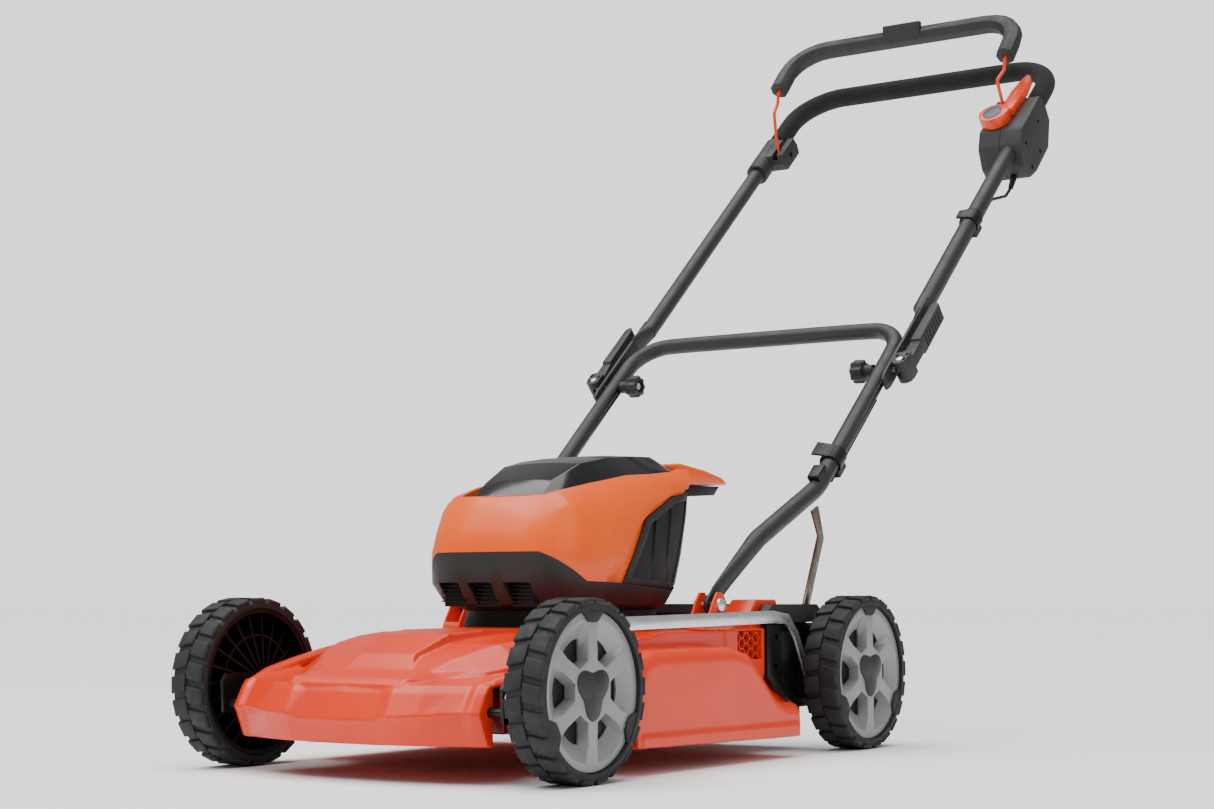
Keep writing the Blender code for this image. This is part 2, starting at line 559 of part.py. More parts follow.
def build_clip(name, x, s):
    """A snap-on cable clip round one tube, with its cable seat."""
    clip = place(name, handle_drum(x, TUBE_RADIUS + 0.0030, s - 0.012, s + 0.012), DARK_PLASTIC)
    seat = [(x - 0.007, s - 0.012), (x + 0.007, s - 0.012), (x + 0.007, s + 0.012), (x - 0.007, s + 0.012)]
    shape_with(clip, handle_prism(seat, "Z", -TUBE_RADIUS - 0.0105, -TUBE_RADIUS), "UNION")
    shape_with(clip, handle_drum(x, TUBE_BORE, s - 0.030, s + 0.030))
    hole = sweep([on_handle(x, s - 0.03, -0.0175), on_handle(x, s + 0.03, -0.0175)], CABLE_RADIUS + GAP, 8)
    shape_with(clip, hole)


def handle_drum(x, radius, low, high, sides=12, n=0.0):
    """A cylinder along the handle tube."""
    return sweep([on_handle(x, low, n), on_handle(x, high, n)], radius, sides)


def build_clamps():
    """Star knobs with their bolts inside, and cam levers outside."""
    y, z = on_handle(0, FOLD_S).yz
    for side, sign in SIDES.items():
        pivot = (0, y, z)
        star = []
        for step in range(16):
            turn = math.tau * step / 16
            radius = 0.0145 + 0.0020 * math.cos(8 * turn)
            star.append((y + radius * math.cos(turn), z + radius * math.sin(turn)))
        knob = place(f"star_knob_{side}", prism(star, "X", sign * 0.1790, sign * 0.1975), DARK_PLASTIC, pivot)
        shape_with(knob, drum("X", (y, z), 0.0090, sign * 0.1970, sign * 0.2112, 16), "UNION")
        shape_with(knob, drum("X", (y, z), 0.0040, sign * 0.2050, sign * 0.2440, 12), "UNION")
        head = [(0.2452, FOLD_S - 0.0040), (0.2478, FOLD_S - 0.0082), (0.2530, FOLD_S - 0.0108),
                (0.2590, FOLD_S - 0.0106), (0.2650, FOLD_S - 0.0070), (0.2675, FOLD_S + 0.002),
                (0.2675, FOLD_S + 0.016), (0.2600, FOLD_S + 0.018), (0.2452, FOLD_S + 0.014)]
        paddle = [(0.2480, FOLD_S + 0.010), (0.2675, FOLD_S + 0.010), (0.2670, 0.150), (0.2600, 0.156),
                  (0.2540, 0.150), (0.2525, 0.060)]
        lever = place(f"clamp_lever_{side}",
                      handle_prism([(sign * x, s) for x, s in head], "Z", -0.0175, 0.0175),
                      DARK_PLASTIC, on_handle(sign * 0.256, FOLD_S))
        shape_with(lever, handle_prism([(sign * x, s) for x, s in paddle], "Z", -0.013, 0.013), "UNION")


def upper_route(sign, start):
    """Centre line of one upper tube from a start up to the grip."""
    return [on_handle(sign * UPPER_X, start), on_handle(sign * UPPER_X, GRIP_S)]


def build_upper_handle():
    """Upper tubes with the grip bar, and saddles at their lower ends."""
    left, right = upper_route(1, 0.156), upper_route(-1, 0.156)
    path = rounded_path([left[0], left[1], right[1], right[0]], 0.075, 5)
    y, z = on_handle(0, FOLD_S).yz
    handle = place("upper_handle", sweep(path, TUBE_RADIUS, 10), TUBE_GREY, (0, y, z))
    for sign in SIDES.values():
        saddle = [(FOLD_S - 0.034, -0.010), (FOLD_S - 0.034, 0.010), (FOLD_S - 0.026, 0.0125),
                  (0.172, 0.0115), (0.172, -0.0115), (FOLD_S - 0.026, -0.0125)]
        shape_with(handle, handle_prism(saddle, "X", sign * 0.2376, sign * 0.2416), "UNION")
    shape_with(handle, drum("X", (y, z), 0.0045, -0.30, 0.30, 12))
    left, right = upper_route(1, 0.7035), upper_route(-1, 0.7035)
    path = rounded_path([left[0], left[1], right[1], right[0]], 0.075, 5)
    place("grip_foam", sweep(path, GRIP_RADIUS, 10, TUBE_RADIUS + GAP), FOAM_BLACK)


def build_controls():
    """Control box, start lever, bail bracket, bail wire and bail cover."""
    side_view = [(0.598, -0.052), (0.570, -0.046), (0.564, -0.020), (0.575, 0.012), (0.600, 0.030),
                 (0.694, 0.030), (0.702, 0.006), (0.700, -0.020), (0.664, -0.050)]
    control_box = place("control_box", handle_prism(side_view, "X", 0.1850, 0.2600), DARK_PLASTIC)
    relief = sweep([on_handle(0.2330, 0.580, -0.036), on_handle(0.2330, 0.545, -0.0450)], 0.0048, 10)
    shape_with(control_box, relief, "UNION")
    slots = {1: [(0.640, -0.008), (0.696, -0.008), (0.696, 0.060), (0.640, 0.060)]}
    slots[-1] = [(0.636, -0.008), (0.730, -0.008), (0.730, 0.060), (0.636, 0.060)]
    bracket = place("bail_bracket_right", handle_drum(-UPPER_X, 0.0185, 0.608, 0.694), DARK_PLASTIC)
    boss = [(0.638, -0.014), (0.690, -0.014), (0.694, 0.0), (0.690, 0.016), (0.638, 0.016), (0.634, 0.0)]
    shape_with(bracket, handle_prism(boss, "X", -0.2330, -0.1910), "UNION")
    for holder, sign in ((control_box, 1), (bracket, -1)):
        shape_with(holder, handle_drum(sign * UPPER_X, TUBE_BORE, 0.50, 0.75))
        shape_with(holder, handle_prism(slots[sign], "X", sign * 0.2022, sign * 0.2118))
    route = [on_handle(0.2070, BAIL_PIVOT_S, 0.0), on_handle(BAIL_X, 0.666, 0.036),
             on_handle(BAIL_X - 0.004, 0.682, 0.073), on_handle(BAIL_X, 0.710, 0.075),
             on_handle(BAIL_X, 0.724, 0.088), on_handle(BAIL_X, 0.828, 0.101)]
    other = [Vector((-point.x, point.y, point.z)) for point in route]
    bar = rounded_path([route[4], route[5], other[5], other[4]], 0.062, 6)
    wire = rounded_path(route[:5], 0.005, 2) + bar[1:-1]
    wire += [Vector((-point.x, point.y, point.z)) for point in rounded_path(route[:5], 0.005, 2)[::-1]]
    pivot = on_handle(0, BAIL_PIVOT_S)
    place("bail_wire", sweep(wire, WIRE_RADIUS, 8), WIRE_ORANGE, pivot)
    bar[0] = route[4].lerp(route[5], 0.05)
    bar[-1] = other[4].lerp(other[5], 0.05)
    cover = place("bail_cover", sweep(bar, GRIP_RADIUS, 8, WIRE_RADIUS + GAP), DARK_PLASTIC, pivot)
    middle = on_handle(0, 0.828, 0.101)
    clip = box((-0.034, middle.y - 0.0185, middle.z - 0.004), (0.034, middle.y - 0.010, middle.z + 0.0200))
    shape_with(cover, clip, "UNION")
    start = place("start_lever", handle_start_disc(), WIRE_ORANGE, on_handle(START_X, START_S))
    arm = [(0.2140, 0.630), (0.2140, 0.692), (0.2200, 0.722), (0.2260, 0.742), (0.2330, 0.738),
           (0.2370, 0.700), (0.2330, 0.640)]
    shape_with(start, handle_prism(arm, "Z", 0.0303, 0.0440), "UNION")


def handle_start_disc():
    """The round pad of the start lever."""
    disc = []
    for step in range(24):
        turn = math.tau * step / 24
        disc.append((START_X + 0.0240 * math.cos(turn), START_S + 0.0240 * math.sin(turn)))
    return handle_prism(disc, "Z", 0.0303, 0.0480)


def build_cables():
    """Control cable in two stretches, and the clips that hold it to the tubes."""
    seat = -0.0175
    upper = [on_handle(0.2330, 0.5440, -0.0452), on_handle(0.2330, 0.520, -0.044),
             on_handle(UPPER_X, 0.470, seat), on_handle(UPPER_X, 0.180, seat)]
    place("cable_upper", sweep(rounded_path(upper, 0.012, 2), CABLE_RADIUS, 6), DARK_PLASTIC)
    lower = [on_handle(LOWER_X, -0.030, seat), on_handle(LOWER_X, -0.205, seat)]
    place("cable_lower", sweep(lower, CABLE_RADIUS, 6), DARK_PLASTIC)
    build_clip("cable_clip_upper", UPPER_X, 0.386)
    build_clip("cable_clip_lower", LOWER_X, -0.180)


def main():
    """Builds every sub-part of the mower."""
    clear_scene()
    build_deck()
    build_rear()
    build_housing()
    build_lid_and_battery()
    build_motor()
    for row, axle_y in (("front", 0.0), ("rear", WHEELBASE)):
        build_axle(f"{row}_axle", axle_y)
        for side, sign in SIDES.items():
            build_wheel(f"{row}_{side}", axle_y, sign)
    build_height_adjuster()
    build_ears()
    build_lower_handle()
    build_clamps()
    build_upper_handle()
    build_controls()
    build_cables()


main()
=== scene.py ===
"""Visual model of a cordless walk-behind lawn mower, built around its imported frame.

Lengths are metres. Along Y they are given from the front wheel axle, and Layout moves them into the
frame, whose front is towards -Y. The operator's left is +X.
"""

import json
import logging
import math
from collections.abc import Callable, Sequence
from dataclasses import dataclass, field
from enum import Enum
from typing import Any

import bmesh
import bpy
from mathutils import Matrix, Vector


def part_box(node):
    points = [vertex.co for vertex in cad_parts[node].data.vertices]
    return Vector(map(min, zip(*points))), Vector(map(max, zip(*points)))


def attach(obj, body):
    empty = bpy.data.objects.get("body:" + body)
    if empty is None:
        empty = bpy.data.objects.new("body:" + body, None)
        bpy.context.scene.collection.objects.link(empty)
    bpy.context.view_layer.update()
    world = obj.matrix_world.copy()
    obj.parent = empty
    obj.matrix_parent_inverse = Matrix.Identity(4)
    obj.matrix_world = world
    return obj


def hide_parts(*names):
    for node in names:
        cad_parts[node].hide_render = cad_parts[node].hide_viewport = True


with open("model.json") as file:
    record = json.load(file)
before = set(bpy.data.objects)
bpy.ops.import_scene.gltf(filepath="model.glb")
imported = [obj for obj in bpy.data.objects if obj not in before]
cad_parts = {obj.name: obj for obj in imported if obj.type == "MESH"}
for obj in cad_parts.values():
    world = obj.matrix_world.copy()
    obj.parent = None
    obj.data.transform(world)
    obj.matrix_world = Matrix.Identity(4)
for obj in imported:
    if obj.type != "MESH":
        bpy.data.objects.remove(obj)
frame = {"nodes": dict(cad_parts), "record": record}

log = logging.getLogger("mower")

Point2 = tuple[float, float]
Point3 = tuple[float, float, float]
MILLIMETRE = 0.001
SIDES = {"left": 1, "right": -1}
AXLE_BORE = 0.0058


class Axis(Enum):
    """The direction that a slab is extruded along."""

    X = 0
    Y = 1
    Z = 2


class Operation(Enum):
    """What a Boolean does with its tool."""

    CUT = "DIFFERENCE"
    ADD = "UNION"
    KEEP = "INTERSECT"


# ---------------------------------------------------------------------------------------------------
# Layout
# ---------------------------------------------------------------------------------------------------


def centre_of(node: str) -> Vector:
    """The middle of a CAD node's box."""
    low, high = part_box(node)
    return (Vector(low) + Vector(high)) / 2


def joint_named(name: str) -> dict[str, Any]:
    """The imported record's joint of that name."""
    return next(joint for joint in frame["record"]["behaviour"]["joints"] if joint["name"] == name)


@dataclass(frozen=True)
class Layout:
    """Where the mower's reference lines lie in the frame.

    Attributes:
        axle_y: the front axle along Y.
        handle_angle: the handle's slope.
        tube_x: half the distance between the upper tubes.
        fold_s: how far up the handle its fold joint lies.
    """

    axle_y: float = centre_of("tyre_front_left").y
    handle_angle: float = math.radians(41.84)
    tube_x: float = 0.2335
    fold_s: float = 0.015

    def at(self, x: float, y: float, z: float) -> Vector:
        """A point given from the front axle."""
        return Vector((x, y + self.axle_y, z))

    def on_handle(self, x: float, s: float, n: float = 0.0) -> Vector:
        """A point s up the handle from its reference, and n above it.

        Args:
            x: across the mower.
            s: along the tube.
            n: square to the tube, forward and up.

        Returns:
            The point in the frame.
        """
        pivot = Vector(joint_named("handle_fold")["pos_m"])
        along = s - self.fold_s
        cosine, sine = math.cos(self.handle_angle), math.sin(self.handle_angle)
        return Vector((x, pivot.y + along * cosine - n * sine, pivot.z + along * sine + n * cosine))

    def handle_matrix(self) -> Matrix:
        """Turns handle axes (across, along, above) into the frame."""
        origin = self.on_handle(0.0, 0.0)
        return Matrix.Translation(origin) @ Matrix.Rotation(self.handle_angle, 4, "X")


LAYOUT = Layout()


# ---------------------------------------------------------------------------------------------------
# Mesh tools
# ---------------------------------------------------------------------------------------------------


def new_verts(made: dict[str, Any]) -> list[bmesh.types.BMVert]:
    """The vertices among the geometry that an operator made."""
    return [item for item in made["geom"] if isinstance(item, bmesh.types.BMVert)]


def tidy(bm: bmesh.types.BMesh) -> bmesh.types.BMesh:
    """Merges doubles and turns every face outwards."""
    bmesh.ops.remove_doubles(bm, verts=bm.verts, dist=1e-6)
    bmesh.ops.recalc_face_normals(bm, faces=bm.faces)
    return bm


def solid_of(node: str) -> bmesh.types.BMesh:
    """A CAD node's solid as a bmesh."""
    bm = bmesh.new()
    bm.from_mesh(frame["nodes"][node].data)
    return tidy(bm)


def slab(outline: Sequence[Point2], axis: Axis, low: float, high: float) -> bmesh.types.BMesh:
    """Extrudes an outline, given from the front axle, along one axis.

    Args:
        outline: (y, z), (x, z) or (x, y) corners, in order.
        axis: what the outline is extruded along.
        low: where it starts.
        high: where it ends.

    Returns:
        The closed slab in the frame.
    """
    bm = bmesh.new()
    shift = Vector((0.0, LAYOUT.axle_y, 0.0))
    corners = []
    for a, b in outline:
        point = [a, b]
        point.insert(axis.value, low)
        corners.append(bm.verts.new(Vector(point) + shift))
    face = bm.faces.new(corners)
    step = Vector((0.0, 0.0, 0.0))
    step[axis.value] = high - low
    made = bmesh.ops.extrude_face_region(bm, geom=[face])
    bmesh.ops.translate(bm, verts=new_verts(made), vec=step)
    return tidy(bm)


def handle_slab(outline: Sequence[Point2], axis: Axis, low: float, high: float) -> bmesh.types.BMesh:
    """A slab whose numbers are across, along and above the handle."""
    bm = slab(outline, axis, low, high)
    bmesh.ops.translate(bm, verts=bm.verts, vec=(0.0, -LAYOUT.axle_y, 0.0))
    bmesh.ops.transform(bm, matrix=LAYOUT.handle_matrix(), verts=bm.verts)
    return tidy(bm)


def block(low: Point3, high: Point3) -> bmesh.types.BMesh:
    """A box between two corners given from the front axle."""
    outline = [(low[0], low[1]), (high[0], low[1]), (high[0], high[1]), (low[0], high[1])]
    return slab(outline, Axis.Z, low[2], high[2])


def rounded(bm: bmesh.types.BMesh, width: float, segments: int = 3, angle: float = 30.0,
            ) -> bmesh.types.BMesh:
    """Rounds every edge sharper than an angle.

    Args:
        bm: the mesh.
        width: the bevel's width.
        segments: its steps.
        angle: the sharpness in degrees from which an edge is rounded.

    Returns:
        The same mesh.
    """
    sharp = [edge for edge in bm.edges
             if edge.is_manifold and edge.calc_face_angle(0.0) > math.radians(angle)]
    bmesh.ops.bevel(bm, geom=sharp, offset=width, segments=segments, affect="EDGES", profile=0.5,
                    material=-1, clamp_overlap=True)
    return tidy(bm)


def joined(*parts: bmesh.types.BMesh) -> bmesh.types.BMesh:
    """Puts several meshes into the first one."""
    first = parts[0]
    for other in parts[1:]:
        holder = bpy.data.meshes.new("joining")
        other.to_mesh(holder)
        other.free()
        first.from_mesh(holder)
        bpy.data.meshes.remove(holder)
    return first


def copied(bm: bmesh.types.BMesh, matrix: Matrix) -> bmesh.types.BMesh:
    """A moved copy of a mesh, turned the right way out if the matrix mirrors it."""
    twin = bm.copy()
    bmesh.ops.transform(twin, matrix=matrix, verts=twin.verts)
    if matrix.determinant() < 0:
        bmesh.ops.reverse_faces(twin, faces=twin.faces)
    return twin


def mirrored(bm: bmesh.types.BMesh) -> bmesh.types.BMesh:
    """The mesh with its twin on the other side of the mower."""
    return joined(bm, copied(bm, Matrix.Scale(-1.0, 4, (1.0, 0.0, 0.0))))


def rod(start: Vector, end: Vector, radius: float, segments: int = 24, tip: float | None = None,
        ) -> bmesh.types.BMesh:
    """A straight bar or cone between two points.

    Args:
        start: one end.
        end: the other end.
        radius: the radius at the start.
        segments: how many sides.
        tip: the radius at the end, or None for the same.

    Returns:
        The closed bar.
    """
    bm = bmesh.new()
    along = end - start
    turn = Vector((0.0, 0.0, 1.0)).rotation_difference(along).to_matrix().to_4x4()
    bmesh.ops.create_cone(bm, cap_ends=True, cap_tris=False, segments=segments, radius1=radius,
                          radius2=radius if tip is None else tip, depth=along.length,
                          matrix=Matrix.Translation((start + end) / 2) @ turn)
    return tidy(bm)


def side_bar(centre: Vector, near: float, far: float, radius: float, segments: int = 24,
             ) -> bmesh.types.BMesh:
    """A bar along X between two distances from a centre."""
    return rod(centre + Vector((near, 0, 0)), centre + Vector((far, 0, 0)), radius, segments)


def drill(point: Vector, radius: float, reach: float) -> bmesh.types.BMesh:
    """A bar along X that reaches equally far to both sides of a point, to cut bores with."""
    return side_bar(point, -reach, reach, radius)


def sided(outline: Sequence[Point2], sign: int) -> list[Point2]:
    """An outline for the left side, mirrored when the sign is negative."""
    return [(sign * x, v) for x, v in outline]


def cross_bar(y: float, z: float, low: float, high: float, radius: float, segments: int = 24,
              ) -> bmesh.types.BMesh:
    """A bar along X between two x values, given from the front axle."""
    return rod(LAYOUT.at(low, y, z), LAYOUT.at(high, y, z), radius, segments)


def post(x: float, y: float, low: float, high: float, radius: float, segments: int = 32,
         ) -> bmesh.types.BMesh:
    """An upright bar between two heights, given from the front axle."""
    return rod(LAYOUT.at(x, y, low), LAYOUT.at(x, y, high), radius, segments)


def rounded_path(corners: Sequence[Vector], radius: float, steps: int = 8) -> list[Vector]:
    """A route through corners, with an arc at each inner one.

    Args:
        corners: the route's corners.
        radius: the arcs' radius.
        steps: how many stretches each arc has.

    Returns:
        The points of the route.
    """
    path = [Vector(corners[0])]
    for before, corner, after in zip(corners, corners[1:], corners[2:]):
        back = (before - corner).normalized()
        ahead = (after - corner).normalized()
        bend = math.pi - back.angle(ahead)
        reach = radius * math.tan(bend / 2)
        centre = corner + (back + ahead).normalized() * radius / math.cos(bend / 2)
        start = corner + back * reach - centre
        axis = back.cross(ahead)
        for step in range(steps + 1):
            path.append(centre + Matrix.Rotation(-bend * step / steps, 3, axis) @ start)
    path.append(Vector(corners[-1]))
    return path


def ring_frames(path: Sequence[Vector]) -> list[Matrix]:
    """A matrix for each point of a path, with its Z along the path and no twist."""
    side = (path[1] - path[0]).orthogonal().normalized()
    frames = []
    for index, point in enumerate(path):
        before = path[max(index - 1, 0)]
        after = path[min(index + 1, len(path) - 1)]
        along = ((point - before).normalized() + (after - point).normalized()).normalized()
        side = (side - along * side.dot(along)).normalized()
        other = along.cross(side)
        turn = Matrix((side, other, along)).transposed().to_4x4()
        frames.append(Matrix.Translation(point) @ turn)
    return frames


def pipe(path: Sequence[Vector], radius: float, segments: int = 20,
         width_at: Callable[[float], float] | None = None) -> bmesh.types.BMesh:
    """A round bar along a path, by extruding a circle.

    Args:
        path: the centre line.
        radius: its radius.
        segments: how many sides.
        width_at: a factor on the radius for each share of the path, or None.

    Returns:
        The closed bar.
    """
    frames = ring_frames(path)
    bm = bmesh.new()
    bmesh.ops.create_circle(bm, cap_ends=False, radius=radius, segments=segments, matrix=frames[0])
    edges = list(bm.edges)
    last = 1.0
    if width_at:
        last = width_at(0.0)
        bmesh.ops.transform(bm, matrix=frames[0] @ Matrix.Scale(last, 4) @ frames[0].inverted(),
                            verts=bm.verts)
    for index in range(1, len(frames)):
        made = bmesh.ops.extrude_edge_only(bm, edges=edges)
        size = width_at(index / (len(frames) - 1)) if width_at else 1.0
        step = frames[index] @ Matrix.Scale(size / last, 4) @ frames[index - 1].inverted()
        bmesh.ops.transform(bm, matrix=step, verts=new_verts(made))
        edges = [item for item in made["geom"] if isinstance(item, bmesh.types.BMEdge) and item.is_boundary]
        last = size
    bmesh.ops.holes_fill(bm, edges=[edge for edge in bm.edges if edge.is_boundary], sides=0)
    return tidy(bm)


def loft(sections: Sequence[Sequence[Vector]]) -> bmesh.types.BMesh:
    """A closed solid through sections with the same number of points.

    Args:
        sections: rings of points, in order.

    Returns:
        The solid.
    """
    bm = bmesh.new()
    ring = bmesh.ops.create_circle(bm, cap_ends=False, radius=1.0, segments=len(sections[0]))["verts"]
    for vert, point in zip(ring, sections[0]):
        vert.co = point
    for section in sections[1:]:
        edges = [edge for edge in bm.edges if len(edge.link_faces) < 2 and set(edge.verts) <= set(ring)]
        fresh = set(new_verts(bmesh.ops.extrude_edge_only(bm, edges=edges)))
        ring = [next(edge.other_vert(vert) for edge in vert.link_edges if edge.other_vert(vert) in fresh)
                for vert in ring]
        for vert, point in zip(ring, section):
            vert.co = point
    bmesh.ops.holes_fill(bm, edges=[edge for edge in bm.edges if edge.is_boundary], sides=0)
    return tidy(bm)


def turned(profile: Sequence[Point2], centre: Vector, axis: Vector, steps: int = 64) -> bmesh.types.BMesh:
    """Spins a closed profile about an axis.

    Args:
        profile: (along the axis, radius) corners, in order; a radius of 0 lies on the axis.
        centre: a point on the axis.
        axis: the axis.
        steps: how many steps the full turn has.

    Returns:
        The closed ring or disc.
    """
    bm = bmesh.new()
    out = axis.orthogonal().normalized()
    verts = [bm.verts.new(centre + axis * along + out * radius) for along, radius in profile]
    edges = [bm.edges.new((verts[i], verts[(i + 1) % len(verts)])) for i in range(len(verts))]
    bmesh.ops.spin(bm, geom=verts + edges, cent=centre, axis=axis, angle=math.tau, steps=steps,
                   use_merge=True)
    bmesh.ops.dissolve_degenerate(bm, edges=bm.edges, dist=1e-7)
    return tidy(bm)


def rounded_rectangle(z: float, front: float, rear: float, half: float, power: float, count: int,
                      ) -> list[Vector]:
    """A rounded rectangle seen from above at one height, with squarer corners at the rear."""
    ring = []
    for step in range(count):
        turn = math.tau * step / count
        cosine, sine = math.cos(turn), math.sin(turn)
        corner = power if sine < 0 else power * 1.8
        x = half * math.copysign(abs(cosine) ** (2 / corner), cosine)
        y = (front + rear) / 2 + (rear - front) / 2 * math.copysign(abs(sine) ** (2 / corner), sine)
        ring.append(LAYOUT.at(x, y, z))
    return ring


def blend_table(table: Sequence[Sequence[float]], key: float) -> list[float]:
    """The values of a table at a key, on straight lines between its rows."""
    if key <= table[0][0]:
        return list(table[0][1:])
    for first, second in zip(table, table[1:]):
        if key <= second[0]:
            share = (key - first[0]) / (second[0] - first[0])
            return [a + (b - a) * share for a, b in zip(first[1:], second[1:])]
    return list(table[-1][1:])


class Blank:
    """A workpiece whose modifiers are applied one at a time."""

    def __init__(self, name: str, bm: bmesh.types.BMesh) -> None:
        """Makes the object from a bmesh and frees it."""
        data = bpy.data.meshes.new(name)
        bm.to_mesh(data)
        bm.free()
        self.body = bpy.data.objects.new(name, data)
        bpy.context.scene.collection.objects.link(self.body)

    def apply(self, kind: str, **settings: Any) -> "Blank":
        """Adds one modifier, applies it and returns the blank."""
        modifier = self.body.modifiers.new(kind.title(), kind)
        for key, value in settings.items():
            setattr(modifier, key, value)
        bpy.context.view_layer.update()
        evaluated = self.body.evaluated_get(bpy.context.evaluated_depsgraph_get())
        fresh = bpy.data.meshes.new_from_object(evaluated)
        self.body.modifiers.clear()
        old = self.body.data
        self.body.data = fresh
        bpy.data.meshes.remove(old)
        return self

    def shape(self, operation: Operation, *tools: bmesh.types.BMesh) -> "Blank":
        """Cuts, adds or intersects closed meshes."""
        for bm in tools:
            tool = Blank("tool", bm)
            self.apply("BOOLEAN", operation=operation.value, object=tool.body, solver="MANIFOLD")
            tool.discard()
        return self

    def cut(self, *tools: bmesh.types.BMesh) -> "Blank":
        """Takes closed meshes away."""
        return self.shape(Operation.CUT, *tools)

    def add(self, *tools: bmesh.types.BMesh) -> "Blank":
        """Joins closed meshes on."""
        return self.shape(Operation.ADD, *tools)

    def soften(self, voxel: float, rounds: int, keep: float = 1.0) -> "Blank":
        """Makes one even skin with rounded edges.

        Args:
            voxel: the remesh size.
            rounds: how often the skin is smoothed.
            keep: the share of the faces that a decimation keeps.

        Returns:
            The blank.
        """
        self.apply("REMESH", mode="VOXEL", voxel_size=voxel, adaptivity=0.0)
        self.apply("SMOOTH", factor=0.5, iterations=rounds)
        if keep < 1.0:
            self.apply("DECIMATE", ratio=keep)
        return self

    def bevel(self, width: float, segments: int = 3, angle: float = 30.0) -> "Blank":
        """Rounds the sharp edges."""
        return self.apply("BEVEL", width=width, segments=segments, limit_method="ANGLE",
                          angle_limit=math.radians(angle), harden_normals=False)

    def mesh(self) -> bmesh.types.BMesh:
        """Gives the shape back as a bmesh and removes the object."""
        bm = bmesh.new()
        bm.from_mesh(self.body.data)
        self.discard()
        return bm

    def discard(self) -> None:
        """Removes the object and its mesh."""
        data = self.body.data
        bpy.data.objects.remove(self.body)
        bpy.data.meshes.remove(data)


# ---------------------------------------------------------------------------------------------------
# Finishes
# ---------------------------------------------------------------------------------------------------


def linear(code: str) -> tuple[float, float, float, float]:
    """An sRGB hex colour as linear RGBA."""
    values = []
    for place in (0, 2, 4):
        value = int(code.lstrip("#")[place:place + 2], 16) / 255
        values.append(value / 12.92 if value <= 0.04045 else ((value + 0.055) / 1.055) ** 2.4)
    return (values[0], values[1], values[2], 1.0)


def add_node(tree: bpy.types.NodeTree, kind: str, sockets: dict[str, Any] | None = None,
             **settings: Any) -> bpy.types.Node:
    """Adds one node with its settings, values and links.

    Args:
        tree: the material's node tree.
        kind: the node's type name.
        sockets: for each input name, a value or an output socket to link.
        settings: attributes of the node.

    Returns:
        The node.
    """
    node = tree.nodes.new(kind)
    for key, value in settings.items():
        setattr(node, key, value)
    for name, value in (sockets or {}).items():
        if isinstance(value, bpy.types.NodeSocket):
            tree.links.new(value, node.inputs[name])
        else:
            node.inputs[name].default_value = value
    return node


@dataclass(frozen=True)
class Finish:
    """A surface, named for its real material.

    Attributes:
        name: the material's name.
        slot: the record's slot for it; not used.
        colour: the base colour as sRGB hex.
        tint: the colour that broad patches lean to.
        roughness: the mean roughness.
        spread: how far the roughness varies.
        metallic: 1 for bare metal.
        grain_mm: the size of the fine surface texture.
        grain_depth_mm: how deep that texture looks.
        coat: the weight of a clear coat.
        patch_mm: the size of the broad patches of tint.
    """

    name: str
    slot: str
    colour: str
    tint: str
    roughness: float = 0.4
    spread: float = 0.08
    metallic: float = 0.0
    grain_mm: float = 0.6
    grain_depth_mm: float = 0.02
    coat: float = 0.0
    patch_mm: float = 90.0

    def coordinates(self, tree: bpy.types.NodeTree) -> bpy.types.NodeSocket:
        """The piece's own coordinates, in metres."""
        return add_node(tree, "ShaderNodeTexCoord").outputs["Object"]

    def noise(self, tree: bpy.types.NodeTree, size_mm: float, detail: float = 2.0) -> bpy.types.NodeSocket:
        """Noise whose lumps have one real size."""
        node = add_node(tree, "ShaderNodeTexNoise",
                        {"Vector": self.coordinates(tree), "Scale": 1.0 / (size_mm * MILLIMETRE),
                         "Detail": detail})
        return node.outputs["Fac"]

    def height(self, tree: bpy.types.NodeTree) -> bpy.types.NodeSocket:
        """The fine relief of the surface."""
        return self.noise(tree, self.grain_mm, 3.0)

    def material(self) -> bpy.types.Material:
        """The material, made once."""
        known = bpy.data.materials.get(self.name)
        if known:
            return known
        made = bpy.data.materials.new(self.name)
        made.use_nodes = True
        tree = made.node_tree
        tree.nodes.clear()
        patches = self.noise(tree, self.patch_mm, 3.0)
        soft = add_node(tree, "ShaderNodeMapRange", {"Value": patches, "From Min": 0.35, "From Max": 0.65})
        colour = add_node(tree, "ShaderNodeMix", {"Factor": soft.outputs["Result"]}, data_type="RGBA")
        colour.inputs[6].default_value = linear(self.colour)
        colour.inputs[7].default_value = linear(self.tint)
        rough = add_node(tree, "ShaderNodeMapRange",
                         {"Value": self.noise(tree, self.patch_mm / 4, 5.0), "From Min": 0.3,
                          "From Max": 0.7,
                          "To Min": self.roughness - self.spread, "To Max": self.roughness + self.spread})
        bump = add_node(tree, "ShaderNodeBump",
                        {"Height": self.height(tree), "Distance": self.grain_depth_mm * MILLIMETRE,
                         "Strength": 1.0})
        shader = add_node(tree, "ShaderNodeBsdfPrincipled",
                          {"Base Color": colour.outputs[2], "Roughness": rough.outputs["Result"],
                           "Normal": bump.outputs["Normal"], "Metallic": self.metallic,
                           "Coat Weight": self.coat,
                           "Specular IOR Level": 0.35,
                           "Coat Roughness": 0.08})
        add_node(tree, "ShaderNodeOutputMaterial", {"Surface": shader.outputs["BSDF"]})
        return made


@dataclass(frozen=True)
class DrawnSteel(Finish):
    """Drawn or rolled steel: fine drawing lines run along the piece.

    Attributes:
        stretch: the scale of the lines' noise on each axis, small along the lines.
    """

    stretch: Point3 = (1.0, 0.02, 1.0)

    def height(self, tree: bpy.types.NodeTree) -> bpy.types.NodeSocket:
        """Noise drawn out along the strip."""
        mapped = add_node(tree, "ShaderNodeMapping",
                          {"Vector": self.coordinates(tree), "Scale": self.stretch})
        node = add_node(tree, "ShaderNodeTexNoise",
                        {"Vector": mapped.outputs["Vector"], "Scale": 1.0 / (self.grain_mm * MILLIMETRE),
                         "Detail": 4.0})
        return node.outputs["Fac"]


